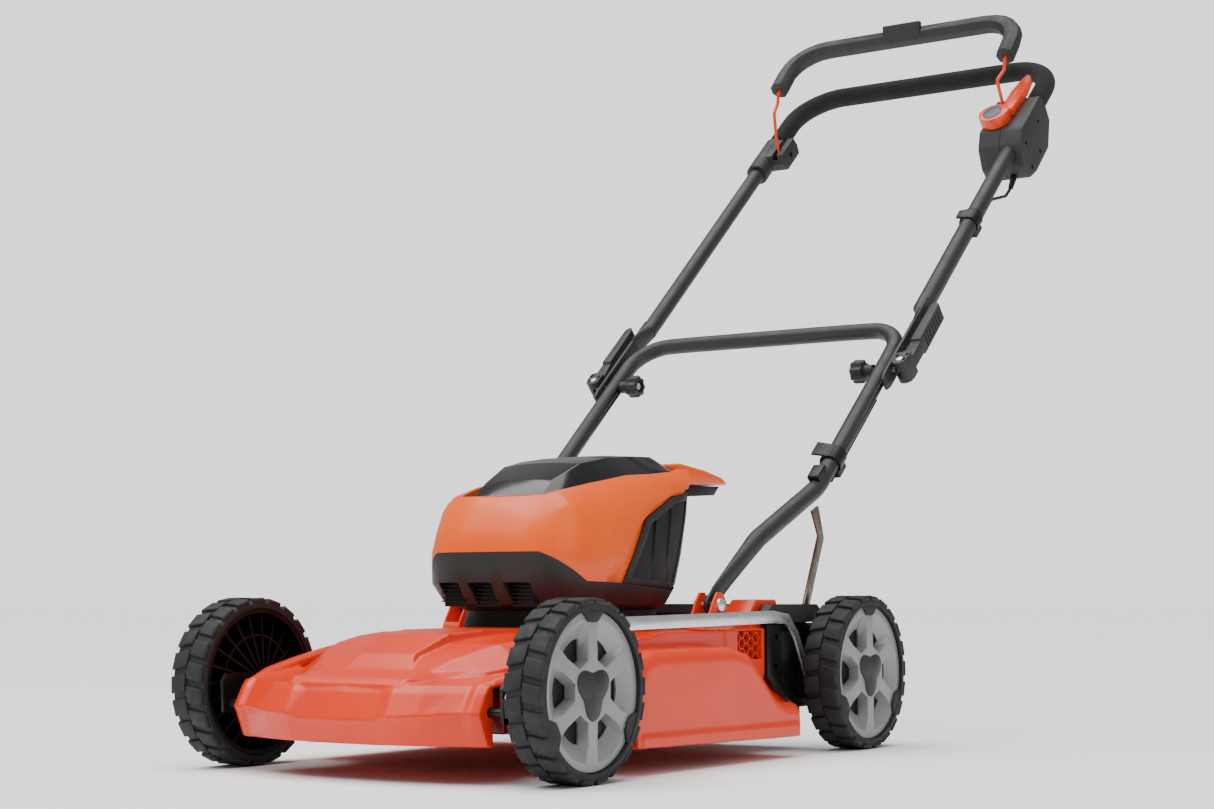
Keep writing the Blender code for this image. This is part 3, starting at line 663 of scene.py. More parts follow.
@dataclass(frozen=True)
class CellFoam(Finish):
    """Closed-cell foam: small round pores all over."""

    def height(self, tree: bpy.types.NodeTree) -> bpy.types.NodeSocket:
        """Pores from a cell pattern."""
        node = add_node(tree, "ShaderNodeTexVoronoi",
                        {"Vector": self.coordinates(tree), "Scale": 1.0 / (self.grain_mm * MILLIMETRE)},
                        feature="SMOOTH_F1")
        return node.outputs["Distance"]


# Powder coat on pressed steel: a glossy skin with a faint orange-peel ripple about 4 mm across
DECK_COAT = Finish("powder_coat_red_orange", "deck_orange", "#E23400", "#DB2E00", 0.32, 0.05,
                   grain_mm=4.0, grain_depth_mm=0.05, coat=0.12)
# The deck's coat darkened to deep red as painted shade, for recesses where little light reaches
DECK_PAINTED_SHADE = Finish("powder_coat_painted_shade", "deck_orange", "#7C0500", "#640300", 0.34, 0.06,
                    grain_mm=4.0, grain_depth_mm=0.05, coat=0.2)
# Moulded ABS, polished tool: bright orange, softer highlights than the deck
SHELL_ABS = Finish("abs_polished_orange", "housing_orange", "#F86200", "#F25B00", 0.28, 0.04,
                   grain_mm=6.0, grain_depth_mm=0.03, coat=0.15)
# Moulded ABS in a redder orange, so that the lever stands out
LEVER_ABS = Finish("abs_orange_lever", "lever_orange", "#EC3C00", "#E43400", 0.27, 0.05, coat=0.2)
# Glass-filled nylon with a spark-eroded texture, grains drawn at 0.5 mm so that they show
NYLON = Finish("nylon_textured_charcoal", "dark_plastic", "#2B2C2D", "#252627", 0.50, 0.07,
               grain_mm=0.5, grain_depth_mm=0.03)
# Moulded polypropylene: near-black with a dull sheen
CORE_PP = Finish("polypropylene_black", "core_black", "#0A0A0B", "#070708", 0.46, 0.08, grain_mm=0.7)
# Polished polycarbonate: black, with broad clear reflections
LID_PC = Finish("polycarbonate_black_satin", "lid_black", "#0B0B0C", "#080809", 0.15, 0.03,
                grain_mm=2.0, grain_depth_mm=0.01, coat=0.4)
# Printed polyester film: flat mid grey
LABEL_FILM = Finish("polyester_grey_film", "dark_plastic", "#4B4F57", "#454950", 0.36, 0.04, grain_mm=0.4)
# Tyre band: tough TPE, matt, scuffed on its lugs
TREAD_TPE = Finish("tpe_tread_charcoal", "tyre_black", "#262728", "#202122", 0.66, 0.10,
                   grain_mm=1.1, grain_depth_mm=0.05, patch_mm=35.0)
# Silver paint on moulded plastic: pale grey with a faint metal flake
TRIM_PAINT = Finish("wheel_paint_silver", "trim_silver", "#8F9092", "#88898B", 0.36, 0.05, metallic=0.25,
                    grain_mm=0.4, grain_depth_mm=0.008)
# Epoxy powder coat on tube: fine texture about 1 mm across
TUBE_COAT = Finish("epoxy_coat_graphite", "tube_grey", "#313234", "#2C2D2F", 0.46, 0.06, metallic=0.15,
                   grain_mm=1.0, grain_depth_mm=0.03)
# Dipped black enamel: smooth, half glossy
PLATE_PAINT = Finish("black_enamel_plate", "black_steel", "#0E0F10", "#0A0A0B", 0.38, 0.06,
                     grain_mm=2.0, grain_depth_mm=0.03)
# Nitrile foam sleeve: matt, with pores drawn at 1 mm so that they show
GRIP_FOAM = CellFoam("nbr_foam_black", "foam_black", "#1E1F20", "#191A1B", 0.88, 0.06,
                     grain_mm=1.0, grain_depth_mm=0.16)
# Zinc-plated mild steel: bright and slightly cloudy, lined by drawing
ZINC_STRIP = DrawnSteel("zinc_plated_strip", "bare_steel", "#E4E5E6", "#D4D6D8", 0.30, 0.07, metallic=0.92,
                        grain_mm=0.35, grain_depth_mm=0.015)
# Unplated spring steel: dark, brownish patches along its length
DARK_STRIP = DrawnSteel("spring_steel_lever", "bare_steel", "#8C7F76", "#5F5650", 0.34, 0.10, metallic=0.9,
                        grain_mm=0.35, grain_depth_mm=0.02, stretch=(1.0, 1.0, 0.04), patch_mm=25.0)
# Hardened and tempered steel: dull dark grey
BLADE_STEEL = DrawnSteel("hardened_blade_steel", "bare_steel", "#6E7073", "#5C5E60", 0.40, 0.08,
                         metallic=0.95,
                         grain_mm=0.5, grain_depth_mm=0.03)
# Die-cast aluminium: light grey with a grainy skin
CAST_ALLOY = Finish("cast_aluminium", "aluminium_case", "#B9BCBF", "#A9ACB0", 0.46, 0.08, metallic=0.9,
                    grain_mm=1.2, grain_depth_mm=0.05)
# Varnished iron laminations: brown and half glossy
CORE_IRON = Finish("varnished_lamination", "laminated_iron", "#5A4A40", "#493B33", 0.42, 0.08, metallic=0.7)
# Dipped coating on wire: smooth orange with a slow ripple
WIRE_COAT = Finish("coated_wire_orange", "wire_orange", "#E43A00", "#DC3200", 0.34, 0.05,
                   grain_mm=3.0, grain_depth_mm=0.02)
# Extruded PVC sheath: black and half matt
CABLE_PVC = Finish("pvc_cable_black", "cable_black", "#191A1A", "#141515", 0.48, 0.06, grain_mm=0.8)
# Background paper: white and matt
FLOOR_PAPER = Finish("studio_paper_white", "", "#FDFDFD", "#FAFAFA", 0.9, 0.02, grain_mm=2.0)


def shade(piece: bpy.types.Object, angle: float) -> None:
    """Smooth shading, with edges sharper than the angle kept hard."""
    piece.data.shade_smooth()
    piece.data.set_sharp_from_angle(angle=math.radians(angle))


def settle(name: str, bm: bmesh.types.BMesh, finish: Finish, body: str, nodes: Sequence[str] = (),
           angle: float = 38.0) -> bpy.types.Object:
    """Turns a finished mesh into a piece that rides on a body.

    Args:
        name: the piece's name.
        bm: its mesh, which is freed.
        finish: its surface.
        body: the CAD body that it rides on.
        nodes: the CAD nodes that it stands for.
        angle: from which angle in degrees its edges stay hard.

    Returns:
        The piece.
    """
    data = bpy.data.meshes.new(name)
    bm.to_mesh(data)
    bm.free()
    piece = bpy.data.objects.new(name, data)
    bpy.context.scene.collection.objects.link(piece)
    data.materials.clear()
    data.materials.append(finish.material())
    shade(piece, angle)
    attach(piece, body)
    if nodes:
        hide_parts(*nodes)
    log.info("%s: %d faces on %s", name, len(data.polygons), body)
    return piece


def dress(node: str, finish: Finish) -> None:
    """Gives a CAD node that stays its finish."""
    frame["nodes"][node].data.materials.clear()
    frame["nodes"][node].data.materials.append(finish.material())


# ---------------------------------------------------------------------------------------------------
# Sub-assemblies
# ---------------------------------------------------------------------------------------------------


@dataclass
class Assembly:
    """A sub-assembly that builds its pieces."""

    layout: Layout = field(default_factory=lambda: LAYOUT)

    def build(self) -> None:
        """Builds every piece."""
        raise NotImplementedError


@dataclass
class Deck(Assembly):
    """The pressed steel deck with its nose, volute, plateau and rear lip."""

    voxel: float = 0.0020
    smoothing: int = 3

    def nose(self) -> bmesh.types.BMesh:
        """The winged nose: lower band, crease and upper band, as sections across the mower."""
        rows = [(0.0, -0.103, -0.113, 0.065), (0.055, -0.102, -0.111, 0.065),
                (0.072, -0.101, -0.1145, 0.0705),
                (0.087, -0.0985, -0.1125, 0.0705), (0.110, -0.093, -0.107, 0.0715),
                (0.140, -0.083, -0.095, 0.0735),
                (0.157, -0.0765, -0.0885, 0.0750), (0.168, -0.0760, -0.0905, 0.0735),
                (0.1785, -0.0700, -0.0850, 0.0730)]
        sections = []
        for x, low_y, crease_y, crease_z in [(-r[0], *r[1:]) for r in reversed(rows[1:])] + rows:
            top_y = crease_y + 0.0115
            profile = [(low_y, 0.041), (crease_y + 0.0015, crease_z - 0.0015),
                       (crease_y - 0.0015, crease_z + 0.0015),
                       (top_y, 0.0985), (top_y + 0.006, 0.106), (0.02, 0.118), (0.02, 0.041)]
            sections.append([self.layout.at(x, y, z) for y, z in profile])
        return loft(sections)

    def hood(self) -> bmesh.types.BMesh:
        """The raised top between the nose and the motor, as sections along the mower."""
        rows = [(-0.0975, 0.080, 0.1060, 0.088), (-0.090, 0.084, 0.1130, 0.090),
                (-0.060, 0.090, 0.1160, 0.102),
                (-0.047, 0.078, 0.1180, 0.108), (-0.020, 0.098, 0.1335, 0.126),
                (0.025, 0.118, 0.1475, 0.146),
                (0.080, 0.135, 0.1540, 0.160), (0.140, 0.150, 0.1575, 0.172), (0.300, 0.165, 0.1580, 0.182),
                (0.470, 0.165, 0.1580, 0.182)]
        rim = [(-0.0975, 0.100), (-0.060, 0.1145), (-0.020, 0.1270), (0.020, 0.1350), (0.080, 0.1430),
               (0.160, 0.1510),
               (0.220, 0.1550), (0.470, 0.1560)]
        sections = []
        for y, half, top, foot in rows:
            edge = blend_table(rim, y)[0]
            flat = min(edge - 0.006, top - 0.005)
            outline = [(-foot - 0.008, 0.060), (-foot - 0.008, edge - 0.010), (-foot, flat), (-half, top),
                       (half, top),
                       (foot, flat), (foot + 0.008, edge - 0.010), (foot + 0.008, 0.060)]
            sections.append([self.layout.at(x, y, z) for x, z in outline])
        return loft(sections)

    def rim(self) -> bmesh.types.BMesh:
        """The raised edge that runs up each side of the front of the top."""
        path = [(-0.070, 0.166, 0.108), (-0.030, 0.178, 0.119), (0.020, 0.184, 0.129),
                (0.080, 0.190, 0.139),
                (0.130, 0.192, 0.146), (0.200, 0.192, 0.153)]
        sections = []
        for y, x, top in path:
            sections.append([self.layout.at(px, y, pz) for px, pz in
                             ((x - 0.014, top - 0.05), (x - 0.010, top - 0.004), (x - 0.004, top),
                              (x + 0.003, top),
                              (x + 0.008, top - 0.006), (x + 0.008, top - 0.05))])
        return mirrored(loft(sections))

    def pad(self) -> bmesh.types.BMesh:
        """The pressed pad that slopes down in front of the motor."""
        rows = [(-0.044, 0.049, 0.1195), (-0.026, 0.042, 0.1375), (0.0215, 0.050, 0.1580),
                (0.075, 0.056, 0.1620),
                (0.200, 0.058, 0.1630)]
        sections = [[self.layout.at(x, y, z) for x, z in ((-half, top - 0.06), (-half, top), (half, top),
                                                           (half, top - 0.06))] for y, half, top in rows]
        return loft(sections)

    def volute(self) -> bmesh.types.BMesh:
        """The wheel-high bulge and the skirt along each side."""
        side = [(0.109, 0.031), (0.109, 0.108), (0.122, 0.131), (0.150, 0.1395), (0.320, 0.1395),
                (0.360, 0.131),
                (0.384, 0.113), (0.410, 0.088), (0.425, 0.077), (0.445, 0.069), (0.476, 0.067),
                (0.476, 0.025),
                (0.459, 0.025)]
        skirt = slab(side, Axis.X, -0.2502, 0.2502)
        shoulders = [edge for edge in skirt.edges
                     if abs(sum(vert.co.x for vert in edge.verts)) > 0.5
                     and min(vert.co.z for vert in edge.verts) > 0.06]
        bmesh.ops.bevel(skirt, geom=shoulders, offset=0.015, segments=5, affect="EDGES", profile=0.5,
                        material=-1)
        return tidy(skirt)

    def shell(self) -> bmesh.types.BMesh:
        """Joins, hollows and softens the pressing."""
        roof = [(0.096, 0.060), (0.096, 0.130), (0.130, 0.1405), (0.190, 0.1520), (0.240, 0.1580),
                (0.472, 0.1580),
                (0.472, 0.060)]
        blank = Blank("deck", slab(roof, Axis.X, -0.2, 0.2))
        step = mirrored(slab([(0.376, 0.100), (0.470, 0.100), (0.470, 0.1595), (0.376, 0.1595)], Axis.X,
                             0.19, 0.2028))
        lip = mirrored(slab([(0.400, 0.150), (0.400, 0.158), (0.462, 0.181), (0.474, 0.195), (0.526, 0.195),
                             (0.530, 0.150)], Axis.X, 0.150, 0.1885))
        rear = slab([(0.440, 0.100), (0.440, 0.150), (0.462, 0.165), (0.600, 0.165), (0.600, 0.060),
                     (0.460, 0.060)],
                    Axis.X, -0.19, 0.19)
        flange = mirrored(slab([(0.118, 0.033), (0.472, 0.027), (0.472, 0.041), (0.118, 0.044)], Axis.X,
                               0.24, 0.2522))
        blank.add(self.nose(), self.hood(), self.rim(), self.pad(), self.volute(), step, rear, flange)
        chamber = post(0.0, 0.280, -0.010, 0.072, 0.236, 96)
        upper = post(0.0, 0.280, 0.060, 0.128, 0.192, 96)
        front = slab([(0.150, -0.0700), (0.060, -0.0930), (-0.060, -0.0930), (-0.150, -0.0700),
                      (-0.150, 0.034),
                      (0.150, 0.034)], Axis.Z, -0.010, 0.088)
        recess = mirrored(block((0.150, -0.060, -0.01), (0.215, 0.060, 0.104)))
        ditch = mirrored(slab([(-0.058, -0.01), (0.066, -0.01), (0.066, 0.120), (0.010, 0.116),
                               (-0.058, 0.102)],
                              Axis.X, 0.1755, 0.215))
        tunnel = block((-0.1866, 0.520, -0.010), (0.1866, 0.630, 0.155))
        outlet = block((-0.120, 0.400, -0.010), (0.120, 0.560, 0.120))
        blank.cut(chamber, upper, front, recess, ditch, tunnel, outlet)
        blank.soften(self.voxel, self.smoothing, 0.28)
        blank.cut(block((0.1795, 0.582, 0.140), (0.1872, 0.640, 0.210)))
        for joint in ("front_axle_turn", "height_adjust"):
            blank.cut(drill(Vector(joint_named(joint)["pos_m"]), AXLE_BORE, 0.26))
        blank.cut(mirrored(self.honeycomb_window()))
        lips = Blank("lip", lip)
        lips.bevel(0.003, 3)
        return joined(blank.mesh(), lips.mesh())

    def honeycomb_window(self) -> bmesh.types.BMesh:
        """The shallow recess behind the hexagonal ribs."""
        return slab([(0.403, 0.121), (0.461, 0.121), (0.461, 0.1565), (0.403, 0.1565)], Axis.X, 0.1965,
                    0.21)

    def honeycomb(self) -> bmesh.types.BMesh:
        """Hexagonal ribs over the recess on each side."""
        size = 0.0075
        web = Blank("web", block((0.1970, 0.4035, 0.1215), (0.2022, 0.4605, 0.1560)))
        column = 0
        y = 0.4035
        while y < 0.466:
            z = 0.1215 + (size * 0.866 if column % 2 else 0.0)
            while z < 0.162:
                hexagon = [(y + size * 0.90 * math.cos(math.radians(60 * k)),
                            z + size * 0.90 * math.sin(math.radians(60 * k))) for k in range(6)]
                web.cut(slab(hexagon, Axis.X, 0.19, 0.21))
                z += size * 1.732
            y += size * 1.5
            column += 1
        return mirrored(web.mesh())

    def nose_details(self) -> None:
        """The notch under the nose, the recesses beside the wheels and the panel behind the ribs, in
        painted shade: a deep-red copy of the deck coat.
        """
        notch = slab([(-0.0990, 0.0405), (-0.0990, 0.0600), (-0.0900, 0.0600), (-0.0900, 0.0405)], Axis.X,
                     -0.056, 0.056)
        rounded(notch, 0.002)
        boxes = mirrored(block((0.1480, -0.030, 0.052), (0.1690, 0.030, 0.1000)))
        rounded(boxes, 0.004, 3)
        panel = mirrored(block((0.1930, 0.4025, 0.1205), (0.1968, 0.4615, 0.1570)))
        # Painted shade: these recess pieces carry a darkened copy of the deck coat
        settle("deck_recess_painted_shade", joined(notch, boxes, panel), DECK_PAINTED_SHADE, "root", ["deck_shell"])

    def build(self) -> None:
        """Builds the deck, its ribs and the painted shade in its recesses."""
        settle("deck_pressing", self.shell(), DECK_COAT, "root", ["deck_shell"], angle=50.0)
        settle("deck_honeycomb", self.honeycomb(), DECK_COAT, "root", ["deck_shell"])
        self.nose_details()


@dataclass
class RearFrame(Assembly):
    """The cover over the rear of the deck, its side plates, the flap and the handle ears."""

    def build_cover(self) -> None:
        """The wide cover with its groove and ribs."""
        top = [(0.472, 0.1653), (0.472, 0.1780), (0.486, 0.1885), (0.602, 0.1885), (0.612, 0.1820),
               (0.612, 0.1653)]
        cover = Blank("cover", slab(top, Axis.X, -0.205, 0.205))
        cover.cut(block((0.1795, 0.575, 0.140), (0.1872, 0.640, 0.210)))
        cover.cut(mirrored(block((0.148, 0.460, 0.160), (0.1895, 0.532, 0.1985))))
        for x in (-0.09, -0.045, 0.0, 0.045, 0.09):
            cover.cut(rounded(block((x - 0.016, 0.500, 0.1872), (x + 0.016, 0.590, 0.195)), 0.001, 1))
        cover.bevel(0.0024, 3)
        settle("rear_cover_moulding", cover.mesh(), NYLON, "root", ["rear_cover"])

    def build_plates(self) -> None:
        """The side plates with their rolled edges and rivets."""
        plate = [(0.4810, 0.1640), (0.612, 0.1640), (0.612, 0.066), (0.590, 0.056), (0.560, 0.056),
                 (0.505, 0.080),
                 (0.4810, 0.098)]
        pivot = Vector(joint_named("height_adjust")["pos_m"])
        for side, sign in SIDES.items():
            low, high = sorted((sign * 0.1903, sign * 0.2000))
            bracket = Blank("plate", slab(plate, Axis.X, low, high))
            pocket = [(0.520, 0.094), (0.560, 0.070), (0.598, 0.072), (0.600, 0.150), (0.520, 0.152)]
            bracket.cut(slab(pocket, Axis.X, sign * 0.1965, sign * 0.21))
            bracket.cut(drill(pivot, AXLE_BORE, 0.3))
            bracket.bevel(0.0014, 2)
            for y, z in ((0.505, 0.148), (0.502, 0.110)):
                bracket.cut(cross_bar(y, z, -0.22, 0.22, 0.004))
            settle(f"rear_plate_{side}", bracket.mesh(), PLATE_PAINT, "root", [f"rear_bracket_{side}"])

    def build_flap(self) -> None:
        """The flap behind the discharge."""
        y, z = 0.6045, 0.150
        outline = [(y - 0.003, z + 0.003), (y + 0.003, z + 0.003), (y + 0.004, 0.100), (y + 0.012, 0.045),
                   (y + 0.009, 0.045), (y + 0.0005, 0.100), (y - 0.003, z - 0.006)]
        flap = Blank("flap", slab(outline, Axis.X, -0.170, 0.170))
        flap.add(*[block((x - 0.0015, y + 0.001, 0.060), (x + 0.0015, y + 0.0105, 0.142))
                   for x in (-0.12, -0.06, 0, 0.06, 0.12)])
        flap.bevel(0.0007, 2)
        settle("rear_flap_moulding", flap.mesh(), CORE_PP, "rear_flap", ["rear_flap"])

    def build_ears(self) -> None:
        """Orange clevises that hold the handle, with a bolt through each."""
        pivot = joint_named("lower_handle_pivot")["pos_m"]
        y, z = pivot[1] - self.layout.axle_y, pivot[2]
        for side, sign in SIDES.items():
            outline = [(y - 0.034, 0.1584), (y + 0.036, 0.1584), (y + 0.030, 0.168), (y + 0.013, z + 0.008),
                       (y + 0.006, z + 0.0155), (y - 0.006, z + 0.0155), (y - 0.014, z + 0.006),
                       (y - 0.029, 0.170)]
            ear = Blank("ear", slab(outline, Axis.X, sign * 0.1762, sign * 0.2043))
            ear.cut(slab([(y - 0.05, 0.1660), (y + 0.05, 0.1660), (y + 0.05, 0.25), (y - 0.05, 0.25)],
                         Axis.X,
                         sign * 0.1795, sign * 0.2010))
            ear.bevel(0.0012, 3)
            settle(f"handle_clevis_{side}", ear.mesh(), DECK_COAT, "root", [f"handle_ear_{side}"])
            axis = Vector((sign, 0.0, 0.0))
            bolt = turned([(0.1752, 0.0), (0.1752, 0.0055), (0.1760, 0.0062), (0.1760, 0.0038),
                           (0.2046, 0.0038),
                           (0.2046, 0.0088), (0.2072, 0.0082), (0.2090, 0.0058), (0.2098, 0.0)],
                          Vector((0.0, pivot[1], pivot[2])), axis, 32)
            nut = rod(self.layout.at(sign * 0.1690, y, z), self.layout.at(sign * 0.1758, y, z), 0.0068, 6)
            settle(f"clevis_bolt_{side}", joined(bolt, rounded(nut, 0.0006, 2)), ZINC_STRIP, "root",
                   [f"pivot_bolt_{side}"])

    def build(self) -> None:
        """Builds the rear of the mower."""
        self.build_cover()
        self.build_plates()
        self.build_flap()
        self.build_ears()


@dataclass
class MotorUnit(Assembly):
    """The motor housing: neck, tub, orange cover, louvres, grip and lid."""

    intakes: tuple[float, ...] = (-0.0560, -0.0060, 0.0480)
    levels: tuple[tuple[float, float, float, float], ...] = (
        (0.1830, 0.200, 0.404, 0.098), (0.1910, 0.168, 0.414, 0.110), (0.2160, 0.150, 0.426, 0.121),
        (0.2530, 0.148, 0.440, 0.1215), (0.2800, 0.156, 0.449, 0.1200), (0.3040, 0.166, 0.458, 0.1180),
        (0.3400, 0.192, 0.470, 0.1120), (0.3800, 0.226, 0.478, 0.1050))
    shoulders: tuple[tuple[float, tuple[Point2, ...]], ...] = (
        (0.140, ((0.1280, 0.254), (0.1120, 0.280), (0.0980, 0.297), (0.0800, 0.306), (0.0600, 0.310))),
        (0.200, ((0.1280, 0.254), (0.1145, 0.280), (0.1050, 0.299), (0.0925, 0.313), (0.0750, 0.326))),
        (0.255, ((0.1280, 0.262), (0.1190, 0.285), (0.1135, 0.305), (0.1040, 0.324), (0.0885, 0.338))),
        (0.320, ((0.1280, 0.265), (0.1200, 0.290), (0.1145, 0.315), (0.1040, 0.337), (0.0905, 0.3495))),
        (0.435, ((0.1280, 0.270), (0.1190, 0.300), (0.1135, 0.325), (0.1045, 0.348), (0.0905, 0.3625))),
        (0.620, ((0.1280, 0.270), (0.1190, 0.300), (0.1135, 0.328), (0.1045, 0.354), (0.0905, 0.3720))))

    def crown(self, shrink: float = 0.0) -> bmesh.types.BMesh:
        """The rounded shoulders, as sections along the mower."""
        sections = []
        for y, points in self.shoulders:
            right = [(x - shrink, z - shrink) for x, z in points]
            left = [(-x, z) for x, z in right]
            outline = [(left[0][0], 0.120)] + left + right[::-1] + [(right[0][0], 0.120)]
            sections.append([self.layout.at(x, y, z) for x, z in outline])
        return loft(sections)

    def body(self, shrink: float = 0.0) -> bmesh.types.BMesh:
        """The housing's outer form, or a smaller one for its hollow."""
        count = 96
        return loft([rounded_rectangle(z, front + shrink, rear - shrink, half - shrink, 3.4, count)
                     for z, front, rear, half in self.levels])

    def seam(self, drop: float) -> list[Point2]:
        """The line between tub and cover, seen from the side."""
        return [(0.100, 0.2535 - drop), (0.158, 0.2535 - drop), (0.205, 0.2185 - drop),
                (0.500, 0.2085 - drop)]

    def lid_seam(self, y: float) -> float:
        """Height of the seam under the lid."""
        return 0.3040 + (y - 0.189) * 0.207

    def build_neck(self) -> None:
        """The neck between deck and tub, with cooling ribs."""
        neck = Blank("neck", loft([rounded_rectangle(0.1583, 0.196, 0.412, 0.104, 3.2, 64),
                                   rounded_rectangle(0.1827, 0.200, 0.404, 0.098, 3.2, 64)]))
        neck.cut(post(0.0, 0.280, 0.100, 0.220, 0.020))
        for step in range(7):
            z = 0.1615 + step * 0.003
            rim = Blank("rim", loft([rounded_rectangle(z, 0.17, 0.43, 0.13, 3.2, 64),
                                     rounded_rectangle(z + 0.0011, 0.17, 0.43, 0.13, 3.2, 64)]))
            rim.cut(loft([rounded_rectangle(z - 0.01, 0.2005, 0.4045, 0.0985, 3.2, 64),
                          rounded_rectangle(z + 0.01, 0.2005, 0.4045, 0.0985, 3.2, 64)]))
            neck.cut(rim.mesh())
        settle("motor_neck_casting", neck.mesh(), CORE_PP, "root", ["motor_neck"])

    def build_tub(self) -> None:
        """The dark tub with three intake recesses across its front."""
        tub = Blank("tub", self.body())
        tub.shape(Operation.KEEP, slab([(0.500, 0.150), (0.100, 0.150)] + self.seam(0.0004), Axis.X, -0.2,
                                       0.2))
        hollow = [(0.1880, 0.205, 0.399, 0.093), (0.2160, 0.158, 0.418, 0.113),
                  (0.2600, 0.156, 0.434, 0.113)]
        tub.cut(loft([rounded_rectangle(*level, 3.2, 64) for level in hollow]))
        tub.cut(post(0.0, 0.280, 0.150, 0.200, 0.020))
        for x in self.intakes:
            mouth = slab([(x - 0.0185, 0.2170), (x + 0.0185, 0.2170), (x + 0.0150, 0.1900),
                          (x - 0.0150, 0.1900)],
                         Axis.Y, 0.120, 0.172)
            tub.cut(rounded(mouth, 0.003, 3))
        tub.cut(self.louvre_holes())
        tub.bevel(0.0012, 2, 35.0)
        grilles = [block((x - 0.0185, 0.1706, 0.1880), (x + 0.0185, 0.1730, 0.2180)) for x in self.intakes]
        for x in self.intakes:
            for step in range(5):
                z = 0.1935 + step * 0.0048
                grilles.append(rounded(block((x - 0.018, 0.1630, z), (x + 0.018, 0.1705, z + 0.0016)),
                                       0.0004, 1))
        settle("motor_tub", tub.mesh(), NYLON, "root", ["motor_base"])
        settle("intake_grilles", joined(*grilles), CORE_PP, "root", ["motor_base"])

    def louvre_outline(self, grow: float) -> list[Point2]:
        """The side panel's outline, grown by some metres."""
        panel = [(0.276, 0.2165), (0.398, 0.2075), (0.452, 0.3330), (0.400, 0.3250), (0.330, 0.2960)]
        middle_y = sum(y for y, z in panel) / len(panel)
        middle_z = sum(z for y, z in panel) / len(panel)
        return [(middle_y + (y - middle_y) * (1 + grow / 0.07),
                 middle_z + (z - middle_z) * (1 + grow / 0.05))
                for y, z in panel]

    def louvre_holes(self) -> bmesh.types.BMesh:
        """The openings in tub and cover that take the side panels."""
        return mirrored(rounded(slab(self.louvre_outline(0.0006), Axis.X, 0.1047, 0.2), 0.0015, 2))

    def build_cover(self) -> None:
        """The orange cover with its shoulders, cheeks and rear grip."""
        cover = Blank("cover", self.body())
        cover.shape(Operation.KEEP, slab([(0.500, 0.420), (0.100, 0.420)] + self.seam(0.0), Axis.X, -0.2,
                                         0.2))
        cover.shape(Operation.KEEP, self.crown())
        crease = [(0.232, 0.2000), (0.236, 0.2160), (0.254, 0.2300), (0.280, 0.2560), (0.312, 0.2880),
                  (0.350, 0.3120),
                  (0.400, 0.3290), (0.450, 0.3390), (0.490, 0.3440), (0.490, 0.2000)]
        cutter = Blank("cheek", slab(crease, Axis.X, 0.08, 0.2))
        inner = Blank("inner", self.body(0.0045))
        inner.shape(Operation.KEEP, self.crown(0.0035))
        cutter.cut(inner.mesh())
        cover.cut(mirrored(cutter.mesh()))
        hollow = [(0.2050, 0.160, 0.418, 0.110), (0.2530, 0.157, 0.431, 0.110),
                  (0.2900, 0.178, 0.444, 0.104)]
        cover.cut(loft([rounded_rectangle(*level, 3.2, 64) for level in hollow]))
        cover.cut(self.lid_form(0.0009, 0.12))
        cover.cut(block((-0.060, 0.245, 0.280), (0.060, 0.425, 0.400)))
        cover.cut(self.louvre_holes())
        cover.bevel(0.0022, 3, 28.0)
        grip = Blank("grip", slab([(0.4560, 0.3440), (0.5700, 0.3470), (0.5760, 0.3500), (0.5620, 0.3570),
                                   (0.5200, 0.3650), (0.4560, 0.3720)], Axis.X, -0.0855, 0.0855))
        grip.bevel(0.0045, 4)
        settle("motor_cover_moulding", joined(cover.mesh(), grip.mesh()), SHELL_ABS, "root",
               ["motor_shell"],
               angle=32.0)

    def build_grip(self) -> None:
        """The dark insert under the rear lip, with room for fingers."""
        under = Blank("under", slab([(0.4766, 0.3290), (0.5500, 0.3330), (0.5640, 0.3455),
                                     (0.4766, 0.3436)],
                                    Axis.X, -0.080, 0.080))
        under.cut(rounded(block((-0.052, 0.486, 0.320), (0.052, 0.545, 0.3400)), 0.004, 3))
        under.bevel(0.002, 3)
        settle("grip_insert", under.mesh(), CORE_PP, "root", ["rear_grip_cover"])

    def build_louvres(self) -> None:
        """The side panels: a raised frame round three overlapping slats."""
        for side, sign in SIDES.items():
            frame_part = Blank("panel", self.body(0.0012))
            low, high = sorted((sign * 0.1000, sign * 0.2))
            frame_part.shape(Operation.KEEP, self.crown(0.0010))
            frame_part.shape(Operation.KEEP, slab(self.louvre_outline(0.0), Axis.X, low, high))
            frame_part.cut(slab([(0.292, 0.2230), (0.392, 0.2160), (0.436, 0.3220), (0.402, 0.3170),
                                 (0.340, 0.2900)],
                                Axis.X, sign * 0.0900, sign * 0.2))
            slats = []
            for index in range(3):
                near = 0.302 + index * 0.034
                slat = Blank("slat", self.body(0.0030))
                lean = 0.030
                slat.shape(Operation.KEEP, self.crown(0.0028))
                slat.shape(Operation.KEEP, slab([(near, 0.2130), (near + 0.032, 0.2130),
                                                 (near + 0.032 + lean, 0.3250),
                                                 (near + lean, 0.3250)], Axis.X, low, high))
                slat.shape(Operation.KEEP, slab([(0.2880, 0.2200), (0.3940, 0.2130), (0.4400, 0.3250),
                                                 (0.4010, 0.3200),
                                                 (0.3370, 0.2920)], Axis.X, low, high))
                slat.cut(self.slat_bevel(sign, near, lean))
                slats.append(slat.mesh())
            frame_part.bevel(0.0012, 2)
            settle(f"louvre_panel_{side}", joined(frame_part.mesh(), *slats), NYLON, "root",
                   [f"louvre_{side}"])

    def slat_bevel(self, sign: float, near: float, lean: float) -> bmesh.types.BMesh:
        """The wedge that tilts one slat, deepest at its front edge."""
        sections = []
        for z, shift in ((0.205, -lean * 0.07), (0.335, lean * 1.09)):
            depth = 0.1130 if z < 0.25 else 0.0990
            ring = [(depth, near - 0.003 + shift), (depth + 0.0085, near + 0.031 + shift),
                    (0.2, near + 0.031 + shift),
                    (0.2, near - 0.003 + shift)]
            sections.append([self.layout.at(sign * x, y, z) for x, y in ring])
        return loft(sections)

